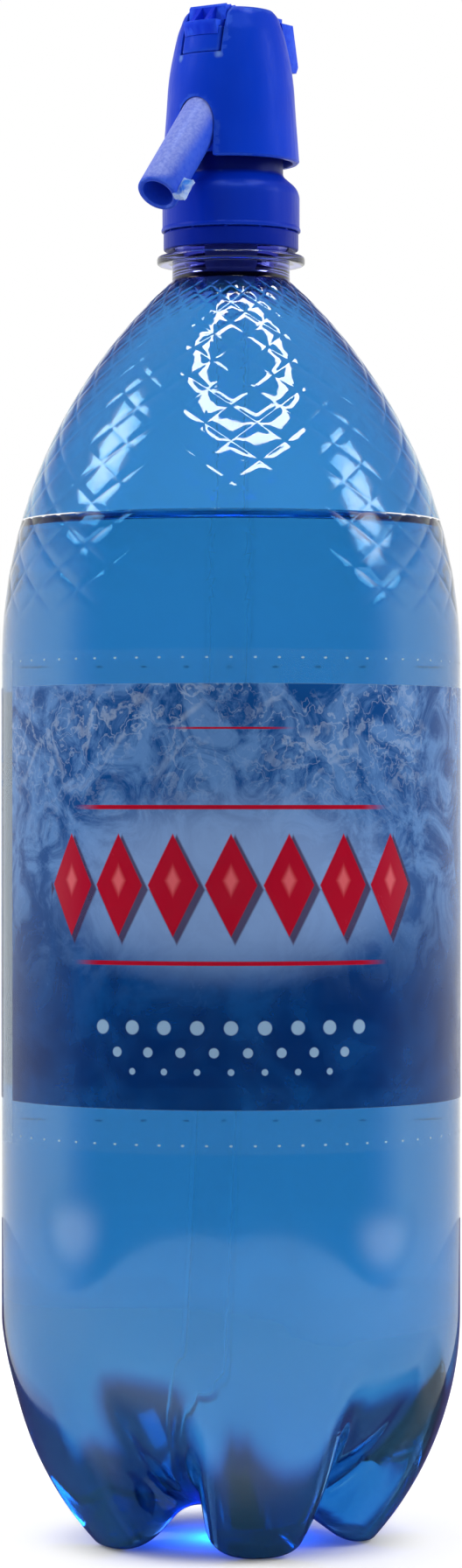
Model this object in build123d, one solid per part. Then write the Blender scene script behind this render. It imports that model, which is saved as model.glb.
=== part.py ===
"""Soda siphon: a lever-operated dispensing head screwed on a two-litre blow-moulded bottle.

Frame: +Z up, origin on the bottle's axis in the plane of its feet, spout towards -Y.
The lever bends at its front tongue about an axis along X; the valve stem slides along Z.
All lengths are millimetres, all angles degrees.
"""
from build123d import *
import os
from math import cos, radians, sin, sqrt, tan

# ---- bottle body -------------------------------------------------------------------------
BODY_R = 52.3
BASE_H = 52.0
STRAIGHT_H = 148.0
SHOULDER_ARC_R = 116.5
WALL = 0.5

# ---- petaloid base -----------------------------------------------------------------------
FEET = 5
FIRST_FOOT_DEG = -44.0
BASE_ARC_R = 77.0
PAD_W = 5.1
PUSH_UP_R = 10.0
PUSH_UP_H = 9.5
VALLEY_H = 8.0
VALLEY_OVERREACH = 0.5
VALLEY_ROOT_R = 3.0
VALLEY_HALF_DEG = 17.0
VALLEY_TAPER_DEG = 10.0
VALLEY_OVERRUN = 4.0

# ---- neck and screw finish ---------------------------------------------------------------
NECK_R = 13.45
NECK_H = 3.75
NECK_BLEND_W = 5.5
BORE_R = 10.87
BORE_FOOT_DROP = 1.4
RING_R = 16.9
RING_T = 1.9
RING_CHAMFER = 0.7
FINISH_R = 12.5
FINISH_H = 16.3
BEAD_PROUD = 1.25
BEAD_UP = 5.7
BEAD_H = 1.4
THREAD_UP = 9.3
THREAD_PITCH = 2.7
THREAD_TURNS = 1.5
THREAD_DEPTH = 1.15
THREAD_ROOT_W = 1.5
THREAD_CREST_W = 0.6
THREAD_SINK = 0.3
THREAD_CLEARANCE = 0.35

# ---- label film and contents -------------------------------------------------------------
LABEL_UP = 39.5
LABEL_H = 110.0
LABEL_T = 0.1
LABEL_GAP = 0.03
SEAM_DEG = -131.0
SEAM_W = 11.0
FILL_Z = 230.0
WATER_GAP = 0.05

# ---- dip tube ----------------------------------------------------------------------------
TUBE_R = 4.0
TUBE_WALL = 1.0
TUBE_STRAIGHT_H = 54.0
TUBE_MID_SHARE = 0.56
TUBE_MID_REACH = 7.0
TUBE_END_UP = 8.5
TUBE_END_REACH = 18.5
TUBE_LEAN_DEG = 139.5
TUBE_CUT_DEG = 35.0
TUBE_GRIP = 8.0
TUBE_FIT = 0.03
BEND_SHARE = 0.45

# ---- screw collar, gasket and tamper band ------------------------------------------------
FACE_GAP = 0.02
COLLAR_WALL = 1.7
COLLAR_SKIRT_H = 8.8
COLLAR_CREST_H = 0.7
COLLAR_CONE_H = 3.2
COLLAR_BEAD = 0.2
COLLAR_BEAD_H = 1.0
CHIMNEY_WALL = 3.48
CHIMNEY_H = 4.2
GASKET_T = 0.8
FLANGE_T = 1.0
FLANGE_INSET = 0.3
BAND_STEP = 0.3
BAND_H = 3.8
BAND_WALL = 1.2
BAND_LIP_UNDERCUT = 0.5
BAND_LIP_H = 1.3
SCORE_GAP = 0.4
BRIDGES = 12
BRIDGE_W = 0.8
BRIDGE_T = 0.6

# ---- valve -------------------------------------------------------------------------------
CHAMBER_R = 6.6
BARREL_WALL = 1.8
BARREL_DROP = 11.7
SEAT_UP = 9.3
SEAT_H = 2.2
SEAT_HOLE_R = 3.3
SEAT_RIM_W = 0.8
SEAT_RIM_H = 0.4
SEAT_RING_WIRE_R = 0.5
OUTLET_R = 5.2
OUTLET_H = 10.2
GLAND_WEB_T = 0.8
GLAND_H = 4.0
SPIGOT_R = 6.6
SPIGOT_LIP = 0.25
SPIGOT_LIP_H = 0.5
STEM_R = 1.75
STEM_FIT = 0.05
STEM_ABOVE = 5.0
STEM_TIP_R = 0.8
STEM_TIP_H = 0.6
POPPET_R = 5.0
POPPET_H = 2.2
WASHER_INSET = 0.2
WASHER_T = 1.2
RETAINER_W = 1.1
RETAINER_T = 0.7
CLOSED_GAP = 0.05
STEM_RING_WIRE_R = 0.9
GUIDE_FLANGE_T = 0.8
SOCKET_PLUG_H = 4.0
SOCKET_RIM_T = 1.0
SOCKET_SLEEVE_H = 10.0
SOCKET_SLEEVE_WALL = 2.0
SPRING_WIRE_R = 0.4
SPRING_COIL_R = 4.4
SPRING_TURNS = 6.0
SPRING_SEAT_GAP = 0.1

# ---- spout -------------------------------------------------------------------------------
SPOUT_BORE_R = 3.55
SPOUT_WALL = 1.3
SPOUT_DOWN_DEG = 48.0
SPOUT_EXIT_R = 13.0
SPOUT_EXIT_DROP = 11.4
SPOUT_REACH = 23.9
SPOUT_ROOT = 5.2
SPOUT_FIT = 0.03
BOSS_WALL = 1.35
BOSS_DEPTH = 1.6
BOSS_OVERHANG = 0.5
PORT_R = 2.4
PORT_UP = 2.8

# ---- head shell --------------------------------------------------------------------------
SHELL_WALL = 1.4
SHELL_SKIRT_H = 19.2
SHELL_FOOT_R = 15.6
SHELL_FOOT_CHAMFER = 0.4
SHELL_WAIST_DROP = 7.0
SHELL_WAIST_R = 14.7
SHELL_SHOULDER_R = 14.3
SHELL_CONE_H = 10.0
SHELL_NECK_R = 12.3
SHELL_BROW_H = 3.6
SHELL_BROW_R = 11.2
SHELL_CROWN_H = 1.7
SHELL_TOP_R = 9.6
DECK_T = 1.2
SLOT_GAP = 0.25
SLIT_W = 0.7
NOTCH_FRONT_DROP = 5.5
NOTCH_REAR_DROP = 2.4

# ---- lever and its tongue ----------------------------------------------------------------
HINGE_GAP = 0.3
TONGUE_HALF = 4.9
TONGUE_ABOVE = 0.5
LIP_PROUD = 1.0
LIP_HALF = 4.45
LIP_T = 1.4
LIP_EDGE_T = 1.0
SCOOP_H = 1.8
SCOOP_T = 0.12
BAR_GAP = 0.6
BAR_T = 3.1
BAR_SETBACK = 0.2
GUSSET_X = 1.85
GUSSET_T = 1.0
GUSSET_RUN = 3.4
RIDGES = 5
RIDGE_PITCH = 1.7
RIDGE_W = 0.9
RIDGE_H = 0.6
PUSHER_R = 2.4
PUSHER_GAP = 0.15
PAD_HALF = 7.0
PAD_DROP = 1.5
PAD_H = 10.8
PAD_PROUD = 3.8
PAD_CLEAR = 1.2
PAD_FOOT_CUT = 1.5
PAD_FOOT_TUCK = 0.8

# ---- derived places ----------------------------------------------------------------------
EPS = 0.01
OVERCUT = 1.0
FOOT_PITCH_DEG = 360 / FEET
SHOULDER_Z = BASE_H + STRAIGHT_H
SHOULDER_CENTRE_R = BODY_R - SHOULDER_ARC_R
BASE_CENTRE_R = BODY_R - BASE_ARC_R
PAD_INNER_R = BASE_CENTRE_R + sqrt(BASE_ARC_R**2 - BASE_H**2) - PAD_W
NECK_BASE_Z = SHOULDER_Z + sqrt(SHOULDER_ARC_R**2 - (NECK_R - SHOULDER_CENTRE_R) ** 2)
NECK_BLEND_R = NECK_R + NECK_BLEND_W
NECK_BLEND_Z = SHOULDER_Z + sqrt((SHOULDER_ARC_R - WALL) ** 2 - (NECK_BLEND_R - SHOULDER_CENTRE_R) ** 2)
RING_Z = NECK_BASE_Z + NECK_H
BORE_FOOT_Z = NECK_BASE_Z - BORE_FOOT_DROP
FINISH_TOP_Z = RING_Z + FINISH_H
BEAD_Z = RING_Z + BEAD_UP
BEAD_R = FINISH_R + BEAD_PROUD
THREAD_Z = RING_Z + THREAD_UP
LABEL_LOW_Z = BASE_H + LABEL_UP
LABEL_TOP_Z = LABEL_LOW_Z + LABEL_H
GASKET_TOP_Z = FINISH_TOP_Z + GASKET_T
CEILING_Z = GASKET_TOP_Z + FLANGE_T
FLANGE_R = FINISH_R - FLANGE_INSET
COLLAR_BORE_R = FINISH_R + THREAD_DEPTH + THREAD_CLEARANCE
COLLAR_R = COLLAR_BORE_R + COLLAR_WALL
COLLAR_FOOT_Z = FINISH_TOP_Z - COLLAR_SKIRT_H
COLLAR_TOP_Z = FINISH_TOP_Z + COLLAR_CREST_H
CHIMNEY_FOOT_Z = COLLAR_TOP_Z + COLLAR_CONE_H
CHIMNEY_TOP_Z = CHIMNEY_FOOT_Z + CHIMNEY_H
BAND_TOP_Z = COLLAR_FOOT_Z - SCORE_GAP
BAND_FOOT_Z = BAND_TOP_Z - BAND_H
BAND_R = COLLAR_R - BAND_STEP
BAND_LIP_R = BEAD_R - BAND_LIP_UNDERCUT
BARREL_R = CHAMBER_R + BARREL_WALL
CHIMNEY_R = BARREL_R + FACE_GAP + CHIMNEY_WALL
BARREL_FOOT_Z = CEILING_Z - BARREL_DROP
SEAT_TOP_Z = CEILING_Z + SEAT_UP
SEAT_FACE_Z = SEAT_TOP_Z - SEAT_H - SEAT_RIM_H
WASHER_TOP_Z = SEAT_FACE_Z - CLOSED_GAP
POPPET_TOP_Z = WASHER_TOP_Z - WASHER_T
POPPET_FOOT_Z = POPPET_TOP_Z - POPPET_H
OUTLET_TOP_Z = SEAT_TOP_Z + OUTLET_H
GLAND_FLOOR_Z = OUTLET_TOP_Z + GLAND_WEB_T
GLAND_R = STEM_R + STEM_FIT + 2 * STEM_RING_WIRE_R + FACE_GAP
BARREL_TOP_Z = GLAND_FLOOR_Z + GLAND_H
DECK_TOP_Z = BARREL_TOP_Z + DECK_T
SPIGOT_TOP_Z = DECK_TOP_Z + FACE_GAP + SPIGOT_LIP_H
GUIDE_TOP_Z = SPIGOT_TOP_Z + GUIDE_FLANGE_T
STEM_TOP_Z = BARREL_TOP_Z + STEM_ABOVE
SOCKET_TOP_Z = BARREL_FOOT_Z + SOCKET_PLUG_H
SOCKET_RIM_Z = BARREL_FOOT_Z - SOCKET_RIM_T
SOCKET_FOOT_Z = SOCKET_RIM_Z - SOCKET_SLEEVE_H
SPRING_FOOT_Z = SOCKET_TOP_Z + SPRING_SEAT_GAP
SPRING_TOP_Z = POPPET_FOOT_Z - SPRING_SEAT_GAP
SPOUT_R = SPOUT_BORE_R + SPOUT_WALL
SPOUT_EXIT_Z = BARREL_TOP_Z - SPOUT_EXIT_DROP
BOSS_R = SPOUT_R + BOSS_WALL
PORT_Z = SPOUT_EXIT_Z + PORT_UP
SHELL_FOOT_Z = BARREL_TOP_Z - SHELL_SKIRT_H
SHELL_WAIST_Z = BARREL_TOP_Z - SHELL_WAIST_DROP
SHELL_NECK_Z = BARREL_TOP_Z + SHELL_CONE_H
SHELL_BROW_Z = SHELL_NECK_Z + SHELL_BROW_H
SHELL_TOP_Z = SHELL_BROW_Z + SHELL_CROWN_H
NOTCH_HALF = TONGUE_HALF + SLIT_W
NOTCH_FRONT_Z = SHELL_NECK_Z - NOTCH_FRONT_DROP
NOTCH_REAR_Z = SHELL_NECK_Z - NOTCH_REAR_DROP
TONGUE_TOP_Z = SHELL_NECK_Z + TONGUE_ABOVE
LIP_FOOT_Z = TONGUE_TOP_Z + FACE_GAP
LIP_TOP_Z = TONGUE_TOP_Z + LIP_T
SCOOP_FOOT_Z = TONGUE_TOP_Z - SCOOP_H
LIP_R = SHELL_NECK_R + LIP_PROUD
BAR_HALF = NOTCH_HALF - BAR_GAP
BAR_FRONT_Y = BAR_SETBACK - SHELL_TOP_R
BAR_FOOT_Z = SHELL_TOP_Z - BAR_T
PUSHER_FOOT_Z = STEM_TOP_Z + PUSHER_GAP
PAD_TOP_Z = SHELL_TOP_Z - PAD_DROP
PAD_FOOT_Z = PAD_TOP_Z - PAD_H


# ---- shared solids -----------------------------------------------------------------------
def disc(radius, low, high):
    """A plain disc about the Z axis."""
    return Pos(0, 0, (low + high) / 2) * Cylinder(radius, high - low)


def ring(outer, inner, low, high):
    """A plain ring about the Z axis."""
    return disc(outer, low, high) - disc(inner, low - OVERCUT, high + OVERCUT)


def block(low, high):
    """A box between two corners."""
    size = [b - a for a, b in zip(low, high)]
    middle = [(b + a) / 2 for a, b in zip(low, high)]
    return Pos(*middle) * Box(*size)


def turned(points):
    """A solid of revolution about the Z axis of an outline given as (radius, height) points."""
    outline = Polyline(*[(r, 0, z) for r, z in points], close=True)
    return revolve(make_face(outline), Axis.Z)


def across(points, half_width):
    """A prism across the X axis of an outline given as (y, z) points."""
    outline = Polyline(*[(0, y, z) for y, z in points], close=True)
    return extrude(make_face(outline), half_width, dir=(1, 0, 0), both=True)


# ---- bottle ------------------------------------------------------------------------------
def base_arc_r(z, inset):
    """Radius of the base's outer sweep at a height, a wall's inset in from the outside."""
    return BASE_CENTRE_R + sqrt((BASE_ARC_R - inset) ** 2 - (BASE_H - z) ** 2)


def shoulder_r(z, inset):
    """Radius of the shoulder at a height, a wall's inset in from the outside."""
    return SHOULDER_CENTRE_R + sqrt((SHOULDER_ARC_R - inset) ** 2 - (z - SHOULDER_Z) ** 2)


def body_outline(inset, end_z, tail):
    """Outline of the bottle's body up to end_z on the shoulder, closed through the tail points."""
    wall_r = BODY_R - inset
    centre_z = PUSH_UP_H + inset
    pad_r = base_arc_r(inset, inset)
    end_r = shoulder_r(end_z, inset)
    sweep_z = (inset + BASE_H) / 2
    dome_z = (SHOULDER_Z + end_z) / 2
    foot = Polyline((0, 0, centre_z), (PUSH_UP_R, 0, centre_z), (PAD_INNER_R, 0, inset), (pad_r, 0, inset))
    sweep_up = ThreePointArc((pad_r, 0, inset), (base_arc_r(sweep_z, inset), 0, sweep_z),
                             (wall_r, 0, BASE_H))
    side = Line((wall_r, 0, BASE_H), (wall_r, 0, SHOULDER_Z))
    dome = ThreePointArc((wall_r, 0, SHOULDER_Z), (shoulder_r(dome_z, inset), 0, dome_z),
                         (end_r, 0, end_z))
    top = Polyline((end_r, 0, end_z), *[(r, 0, z) for r, z in tail])
    axis = Line((0, 0, tail[-1][1]), (0, 0, centre_z))
    return foot + sweep_up + side + dome + top + axis


def valley_floor(inset):
    """The bowl, and all above it, that the valleys between the feet leave standing."""
    rim_r = BODY_R + VALLEY_OVERREACH
    depth = BASE_H - VALLEY_H
    bowl_r = (rim_r**2 + depth**2) / (2 * depth)
    centre_z = VALLEY_H + bowl_r
    bowl = Pos(0, 0, centre_z) * Sphere(bowl_r - inset)
    return Rot(0, 0, FIRST_FOOT_DEG) * (bowl + disc(bowl_r - inset, centre_z, centre_z + BASE_H))


def valley_wedge(angle, widen):
    """The wedge that parts two feet, narrowing upwards; widen moves its sides apart."""
    slope = tan(radians(VALLEY_HALF_DEG))
    apex = VALLEY_ROOT_R - widen / sin(radians(VALLEY_HALF_DEG))
    reach = 2 * BODY_R
    half = (reach - apex) * slope
    plan = make_face(Polyline((apex, 0), (reach, -half), (reach, half), close=True))
    wedge = extrude(plan, BASE_H + VALLEY_OVERRUN + OVERCUT, taper=VALLEY_TAPER_DEG)
    return Rot(0, 0, angle) * Pos(0, 0, -OVERCUT) * wedge


def bottle_form(inset, end_z, tail):
    """The bottle's body as a solid, a wall's inset in from the outside."""
    outline = make_face(body_outline(inset, end_z, tail))
    form = Rot(0, 0, FIRST_FOOT_DEG) * revolve(outline, Axis.Z)
    floor = valley_floor(inset)
    for foot in range(FEET):
        angle = FIRST_FOOT_DEG + (foot + 0.5) * FOOT_PITCH_DEG
        form -= valley_wedge(angle, inset) - floor
    return form


def thread_ridge(radius, outward, start_z):
    """A helical ridge rooted in a cylinder; outward is +1 on a screw and -1 in a nut."""
    path = Helix(THREAD_PITCH, THREAD_PITCH * THREAD_TURNS, radius, center=(0, 0, start_z))
    root = radius - outward * THREAD_SINK
    crest = radius + outward * THREAD_DEPTH
    flank = (THREAD_ROOT_W - THREAD_CREST_W) / 2 / THREAD_DEPTH
    half_root = THREAD_ROOT_W / 2 + flank * THREAD_SINK
    half_crest = THREAD_CREST_W / 2
    profile = Polyline((root, 0, start_z - half_root), (crest, 0, start_z - half_crest),
                       (crest, 0, start_z + half_crest), (root, 0, start_z + half_root), close=True)
    return sweep(make_face(profile), path=path, is_frenet=True)


def make_bottle():
    """Blow-moulded bottle: petaloid base, domed shoulder, support ring and screw finish."""
    ring_top = RING_Z + RING_T
    outer_tail = [
        (NECK_R, RING_Z), (RING_R - RING_CHAMFER / 2, RING_Z), (RING_R, RING_Z + RING_CHAMFER / 2),
        (RING_R, ring_top - RING_CHAMFER), (RING_R - RING_CHAMFER, ring_top), (FINISH_R, ring_top),
        (FINISH_R, BEAD_Z), (BEAD_R, BEAD_Z), (BEAD_R, BEAD_Z + BEAD_H / 2),
        (FINISH_R, BEAD_Z + BEAD_H), (FINISH_R, FINISH_TOP_Z), (0, FINISH_TOP_Z)]
    inner_tail = [(BORE_R, BORE_FOOT_Z), (BORE_R, FINISH_TOP_Z + OVERCUT), (0, FINISH_TOP_Z + OVERCUT)]
    outside = bottle_form(0, NECK_BASE_Z, outer_tail) + thread_ridge(FINISH_R, 1, THREAD_Z)
    return outside - bottle_form(WALL, NECK_BLEND_Z, inner_tail)


def make_soda_water():
    """The contents, up to the filling height, round the dip tube."""
    fill = bottle_form(WALL + WATER_GAP, FILL_Z, [(0, FILL_Z)])
    return fill - tube_run(TUBE_R + WATER_GAP)


def make_label_wrap():
    """Clear film round the straight wall, doubled at its overlap seam."""
    inner = BODY_R + LABEL_GAP
    film = ring(inner + LABEL_T, inner, LABEL_LOW_Z, LABEL_TOP_Z)
    lap = ring(inner + 2 * LABEL_T, inner, LABEL_LOW_Z, LABEL_TOP_Z)
    strip = block((0, -SEAM_W / 2, LABEL_LOW_Z), (2 * BODY_R, SEAM_W / 2, LABEL_TOP_Z))
    return film + (lap & Rot(0, 0, SEAM_DEG) * strip)


# ---- dip tube ----------------------------------------------------------------------------
def tube_path():
    """Centre line of the dip tube: straight down from its socket, then two gentle bends."""
    top_z = SOCKET_FOOT_Z + TUBE_GRIP
    bend_z = SOCKET_FOOT_Z - TUBE_STRAIGHT_H
    end_z = PUSH_UP_H + TUBE_END_UP
    mid_z = bend_z + TUBE_MID_SHARE * (end_z - bend_z)
    lean_x = cos(radians(TUBE_LEAN_DEG))
    lean_y = sin(radians(TUBE_LEAN_DEG))
    points = [(reach * lean_x, reach * lean_y, z) for reach, z in
              ((0, top_z), (0, bend_z), (TUBE_MID_REACH, mid_z), (TUBE_END_REACH, end_z))]
    runs = [Vector(*b) - Vector(*a) for a, b in zip(points, points[1:])]
    bends = [BEND_SHARE * min(a.length, b.length) / tan(radians(a.get_angle(b)) / 2)
             for a, b in zip(runs, runs[1:])]
    return FilletPolyline(*points, radius=bends)


def tube_run(radius):
    """A round bar along the dip tube's centre line."""
    path = tube_path()
    return sweep(Plane(origin=path @ 0, z_dir=path % 0) * Circle(radius), path=path)


def make_dip_tube():
    """Tube from the valve down into the bottle's base, cut aslant at its foot."""
    path = tube_path()
    foot = Plane(origin=path @ 1, x_dir=(sin(radians(TUBE_LEAN_DEG)), -cos(radians(TUBE_LEAN_DEG)), 0),
                 z_dir=path % 1)
    slice_box = Rot(TUBE_CUT_DEG, 0, 0) * Pos(0, 0, 2 * TUBE_R) * Box(8 * TUBE_R, 8 * TUBE_R, 4 * TUBE_R)
    back = Pos(0, 0, -TUBE_R * tan(radians(TUBE_CUT_DEG)))
    return tube_run(TUBE_R) - tube_run(TUBE_R - TUBE_WALL) - foot * back * slice_box


# ---- collar, gasket and band -------------------------------------------------------------
def make_screw_collar():
    """Screw collar that clamps the valve on the bottle, with a chimney round the barrel."""
    slip = BARREL_R + FACE_GAP
    seat_r = FLANGE_R + FACE_GAP
    body = turned([
        (COLLAR_BORE_R, COLLAR_FOOT_Z), (COLLAR_R + COLLAR_BEAD, COLLAR_FOOT_Z),
        (COLLAR_R + COLLAR_BEAD, COLLAR_FOOT_Z + COLLAR_BEAD_H / 2),
        (COLLAR_R, COLLAR_FOOT_Z + COLLAR_BEAD_H), (COLLAR_R, COLLAR_TOP_Z),
        (CHIMNEY_R, CHIMNEY_FOOT_Z), (CHIMNEY_R, CHIMNEY_TOP_Z), (slip, CHIMNEY_TOP_Z),
        (slip, CEILING_Z + FACE_GAP), (seat_r, CEILING_Z + FACE_GAP), (seat_r, GASKET_TOP_Z),
        (COLLAR_BORE_R, GASKET_TOP_Z - (COLLAR_BORE_R - seat_r))])
    return body + thread_ridge(COLLAR_BORE_R, -1, THREAD_Z + THREAD_PITCH / 2)


def make_tamper_band():
    """Band under the collar, held by breakable bridges, its lip hooked under the neck's bead."""
    inner = BAND_R - BAND_WALL
    band = turned([
        (BAND_LIP_R, BAND_FOOT_Z + BAND_LIP_H / 2), (inner, BAND_FOOT_Z), (BAND_R, BAND_FOOT_Z),
        (BAND_R, BAND_TOP_Z), (inner, BAND_TOP_Z), (inner, BAND_FOOT_Z + 2 * BAND_LIP_H),
        (BAND_LIP_R, BAND_FOOT_Z + BAND_LIP_H)])
    middle = BAND_R - BAND_WALL / 2
    bridge = block((middle - BRIDGE_T / 2, -BRIDGE_W / 2, BAND_TOP_Z - EPS),
                   (middle + BRIDGE_T / 2, BRIDGE_W / 2, COLLAR_FOOT_Z))
    for turn in range(BRIDGES):
        band += Rot(0, 0, turn * 360 / BRIDGES) * bridge
    return band


def make_neck_gasket():
    """Flat gasket between the bottle's rim and the valve body's flange."""
    return ring(FLANGE_R, BORE_R, FINISH_TOP_Z, GASKET_TOP_Z)


# ---- valve -------------------------------------------------------------------------------
def spout_bar(radius, start, end):
    """A round bar on the spout's axis between two distances outwards from the shell's face."""
    down = radians(SPOUT_DOWN_DEG)
    origin = (0, -SPOUT_EXIT_R - start * cos(down), SPOUT_EXIT_Z - start * sin(down))
    place = Plane(origin=origin, x_dir=(1, 0, 0), z_dir=(0, -cos(down), -sin(down)))
    return extrude(place * Circle(radius), end - start)


def make_valve_body():
    """Barrel with the pressure chamber below the seat and the outlet chamber above it."""
    boss = spout_bar(BOSS_R, -SPOUT_ROOT - BOSS_DEPTH, SPOUT_REACH)
    boss &= disc(CHIMNEY_R + BOSS_OVERHANG, CHIMNEY_TOP_Z + SLOT_GAP, BARREL_TOP_Z - SLOT_GAP)
    barrel = disc(BARREL_R, BARREL_FOOT_Z, BARREL_TOP_Z) + disc(FLANGE_R, GASKET_TOP_Z, CEILING_Z)
    barrel += disc(SPIGOT_R, BARREL_TOP_Z - EPS, SPIGOT_TOP_Z)
    barrel += disc(SPIGOT_R + SPIGOT_LIP, DECK_TOP_Z + FACE_GAP, SPIGOT_TOP_Z)
    barrel += boss
    barrel -= disc(CHAMBER_R, BARREL_FOOT_Z - OVERCUT, SEAT_TOP_Z)
    barrel -= disc(OUTLET_R, SEAT_TOP_Z - EPS, OUTLET_TOP_Z)
    barrel -= disc(STEM_R + STEM_FIT, OUTLET_TOP_Z - OVERCUT, GLAND_FLOOR_Z + EPS)
    barrel -= disc(GLAND_R, GLAND_FLOOR_Z, SPIGOT_TOP_Z + OVERCUT)
    barrel -= spout_bar(SPOUT_R + SPOUT_FIT, -SPOUT_ROOT - SPOUT_FIT, SPOUT_REACH)
    port = Cylinder(PORT_R, BARREL_R + OVERCUT, align=(Align.CENTER, Align.CENTER, Align.MIN))
    return barrel - Pos(0, 0, PORT_Z) * Rot(90, 0, 0) * port


def seat_ring_place():
    """Centre height and radius of the wire of the seat's O-ring."""
    return SEAT_TOP_Z - SEAT_H / 2, CHAMBER_R - FACE_GAP - SEAT_RING_WIRE_R


def make_valve_seat():
    """Seat pressed up against the barrel's shelf, with a raised sealing rim underneath."""
    outer = CHAMBER_R - FACE_GAP
    back_z = SEAT_FACE_Z + SEAT_RIM_H
    rim_r = SEAT_HOLE_R + SEAT_RIM_W
    seat = turned([(SEAT_HOLE_R, SEAT_FACE_Z), (rim_r, SEAT_FACE_Z), (rim_r, back_z),
                   (outer, back_z), (outer, SEAT_TOP_Z), (SEAT_HOLE_R, SEAT_TOP_Z)])
    groove_z, groove_r = seat_ring_place()
    half = SEAT_RING_WIRE_R + FACE_GAP
    return seat - ring(CHAMBER_R, groove_r - half, groove_z - half, groove_z + half)


def make_seat_ring():
    """O-ring in the groove round the seat."""
    groove_z, groove_r = seat_ring_place()
    return Pos(0, 0, groove_z) * Torus(groove_r, SEAT_RING_WIRE_R)


def make_valve_stem():
    """Stem with its poppet head below and a chamfered tip above."""
    return turned([(0, POPPET_FOOT_Z), (POPPET_R, POPPET_FOOT_Z), (POPPET_R, POPPET_TOP_Z),
                   (STEM_R, POPPET_TOP_Z), (STEM_R, STEM_TOP_Z - STEM_TIP_H),
                   (STEM_TIP_R, STEM_TOP_Z), (0, STEM_TOP_Z)])


def make_poppet_washer():
    """Rubber washer that closes on the seat's rim."""
    return ring(POPPET_R - WASHER_INSET, STEM_R + FACE_GAP, POPPET_TOP_Z, WASHER_TOP_Z)


def make_washer_retainer():
    """Push-on ring that keeps the washer down on the poppet, inside the seat's hole."""
    inner = STEM_R + FACE_GAP
    return ring(inner + RETAINER_W, inner, WASHER_TOP_Z, WASHER_TOP_Z + RETAINER_T)


def make_stem_ring():
    """O-ring round the stem, in the gland under the guide."""
    middle = STEM_R + STEM_FIT + STEM_RING_WIRE_R
    return Pos(0, 0, GLAND_FLOOR_Z + STEM_RING_WIRE_R) * Torus(middle, STEM_RING_WIRE_R)


def make_stem_guide():
    """Bush pressed in the gland: it guides the stem and keeps its O-ring in place."""
    foot_z = GLAND_FLOOR_Z + 2 * STEM_RING_WIRE_R + FACE_GAP
    bush = disc(GLAND_R - FACE_GAP, foot_z, SPIGOT_TOP_Z + EPS) + disc(SPIGOT_R, SPIGOT_TOP_Z, GUIDE_TOP_Z)
    return bush - disc(STEM_R + STEM_FIT, foot_z - OVERCUT, GUIDE_TOP_Z + OVERCUT)


def make_tube_socket():
    """Plug in the barrel's foot: it carries the spring above and grips the dip tube below."""
    grip_r = TUBE_R + TUBE_FIT
    sleeve_r = TUBE_R + SOCKET_SLEEVE_WALL
    plug_r = CHAMBER_R - FACE_GAP
    throat_r = TUBE_R - TUBE_WALL
    grip_top = SOCKET_FOOT_Z + TUBE_GRIP
    return turned([(grip_r, SOCKET_FOOT_Z), (sleeve_r, SOCKET_FOOT_Z), (sleeve_r, SOCKET_RIM_Z),
                   (BARREL_R, SOCKET_RIM_Z), (BARREL_R, BARREL_FOOT_Z), (plug_r, BARREL_FOOT_Z),
                   (plug_r, SOCKET_TOP_Z), (throat_r, SOCKET_TOP_Z), (throat_r, grip_top),
                   (grip_r, grip_top)])


def make_return_spring():
    """Compression spring between the plug and the poppet."""
    rise = SPRING_TOP_Z - SPRING_FOOT_Z - 2 * SPRING_WIRE_R
    path = Helix(rise / SPRING_TURNS, rise, SPRING_COIL_R, center=(0, 0, SPRING_FOOT_Z + SPRING_WIRE_R))
    wire = Plane(origin=path @ 0, z_dir=path % 0) * Circle(SPRING_WIRE_R)
    return sweep(wire, path=path, is_frenet=True)


def make_spout():
    """Spout tube, its root pressed in the valve body's boss."""
    tube = spout_bar(SPOUT_R, -SPOUT_ROOT, SPOUT_REACH)
    return tube - spout_bar(SPOUT_BORE_R, -SPOUT_ROOT - OVERCUT, SPOUT_REACH + OVERCUT)


# ---- head shell --------------------------------------------------------------------------
def shell_r(z):
    """Outside radius of the shell's upper cone at a height."""
    share = (z - BARREL_TOP_Z) / SHELL_CONE_H
    return SHELL_SHOULDER_R + share * (SHELL_NECK_R - SHELL_SHOULDER_R)


def shell_form(grow, foot_z, top_z, foot_cut):
    """The shell's outer form as a solid, grown outwards, with a chamfer at its foot."""
    return turned([
        (0, foot_z), (SHELL_FOOT_R + grow - foot_cut, foot_z), (SHELL_FOOT_R + grow, foot_z + foot_cut),
        (SHELL_WAIST_R + grow, SHELL_WAIST_Z), (SHELL_SHOULDER_R + grow, BARREL_TOP_Z),
        (SHELL_NECK_R + grow, SHELL_NECK_Z), (SHELL_BROW_R + grow, SHELL_BROW_Z),
        (SHELL_TOP_R + grow, top_z), (0, top_z)])


def shell_wall():
    """The hollow shell, open below, before anything is cut in it."""
    outside = shell_form(0, SHELL_FOOT_Z, SHELL_TOP_Z, SHELL_FOOT_CHAMFER)
    return outside - shell_form(-SHELL_WALL, SHELL_FOOT_Z - OVERCUT, SHELL_TOP_Z - SHELL_WALL, EPS)


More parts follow.
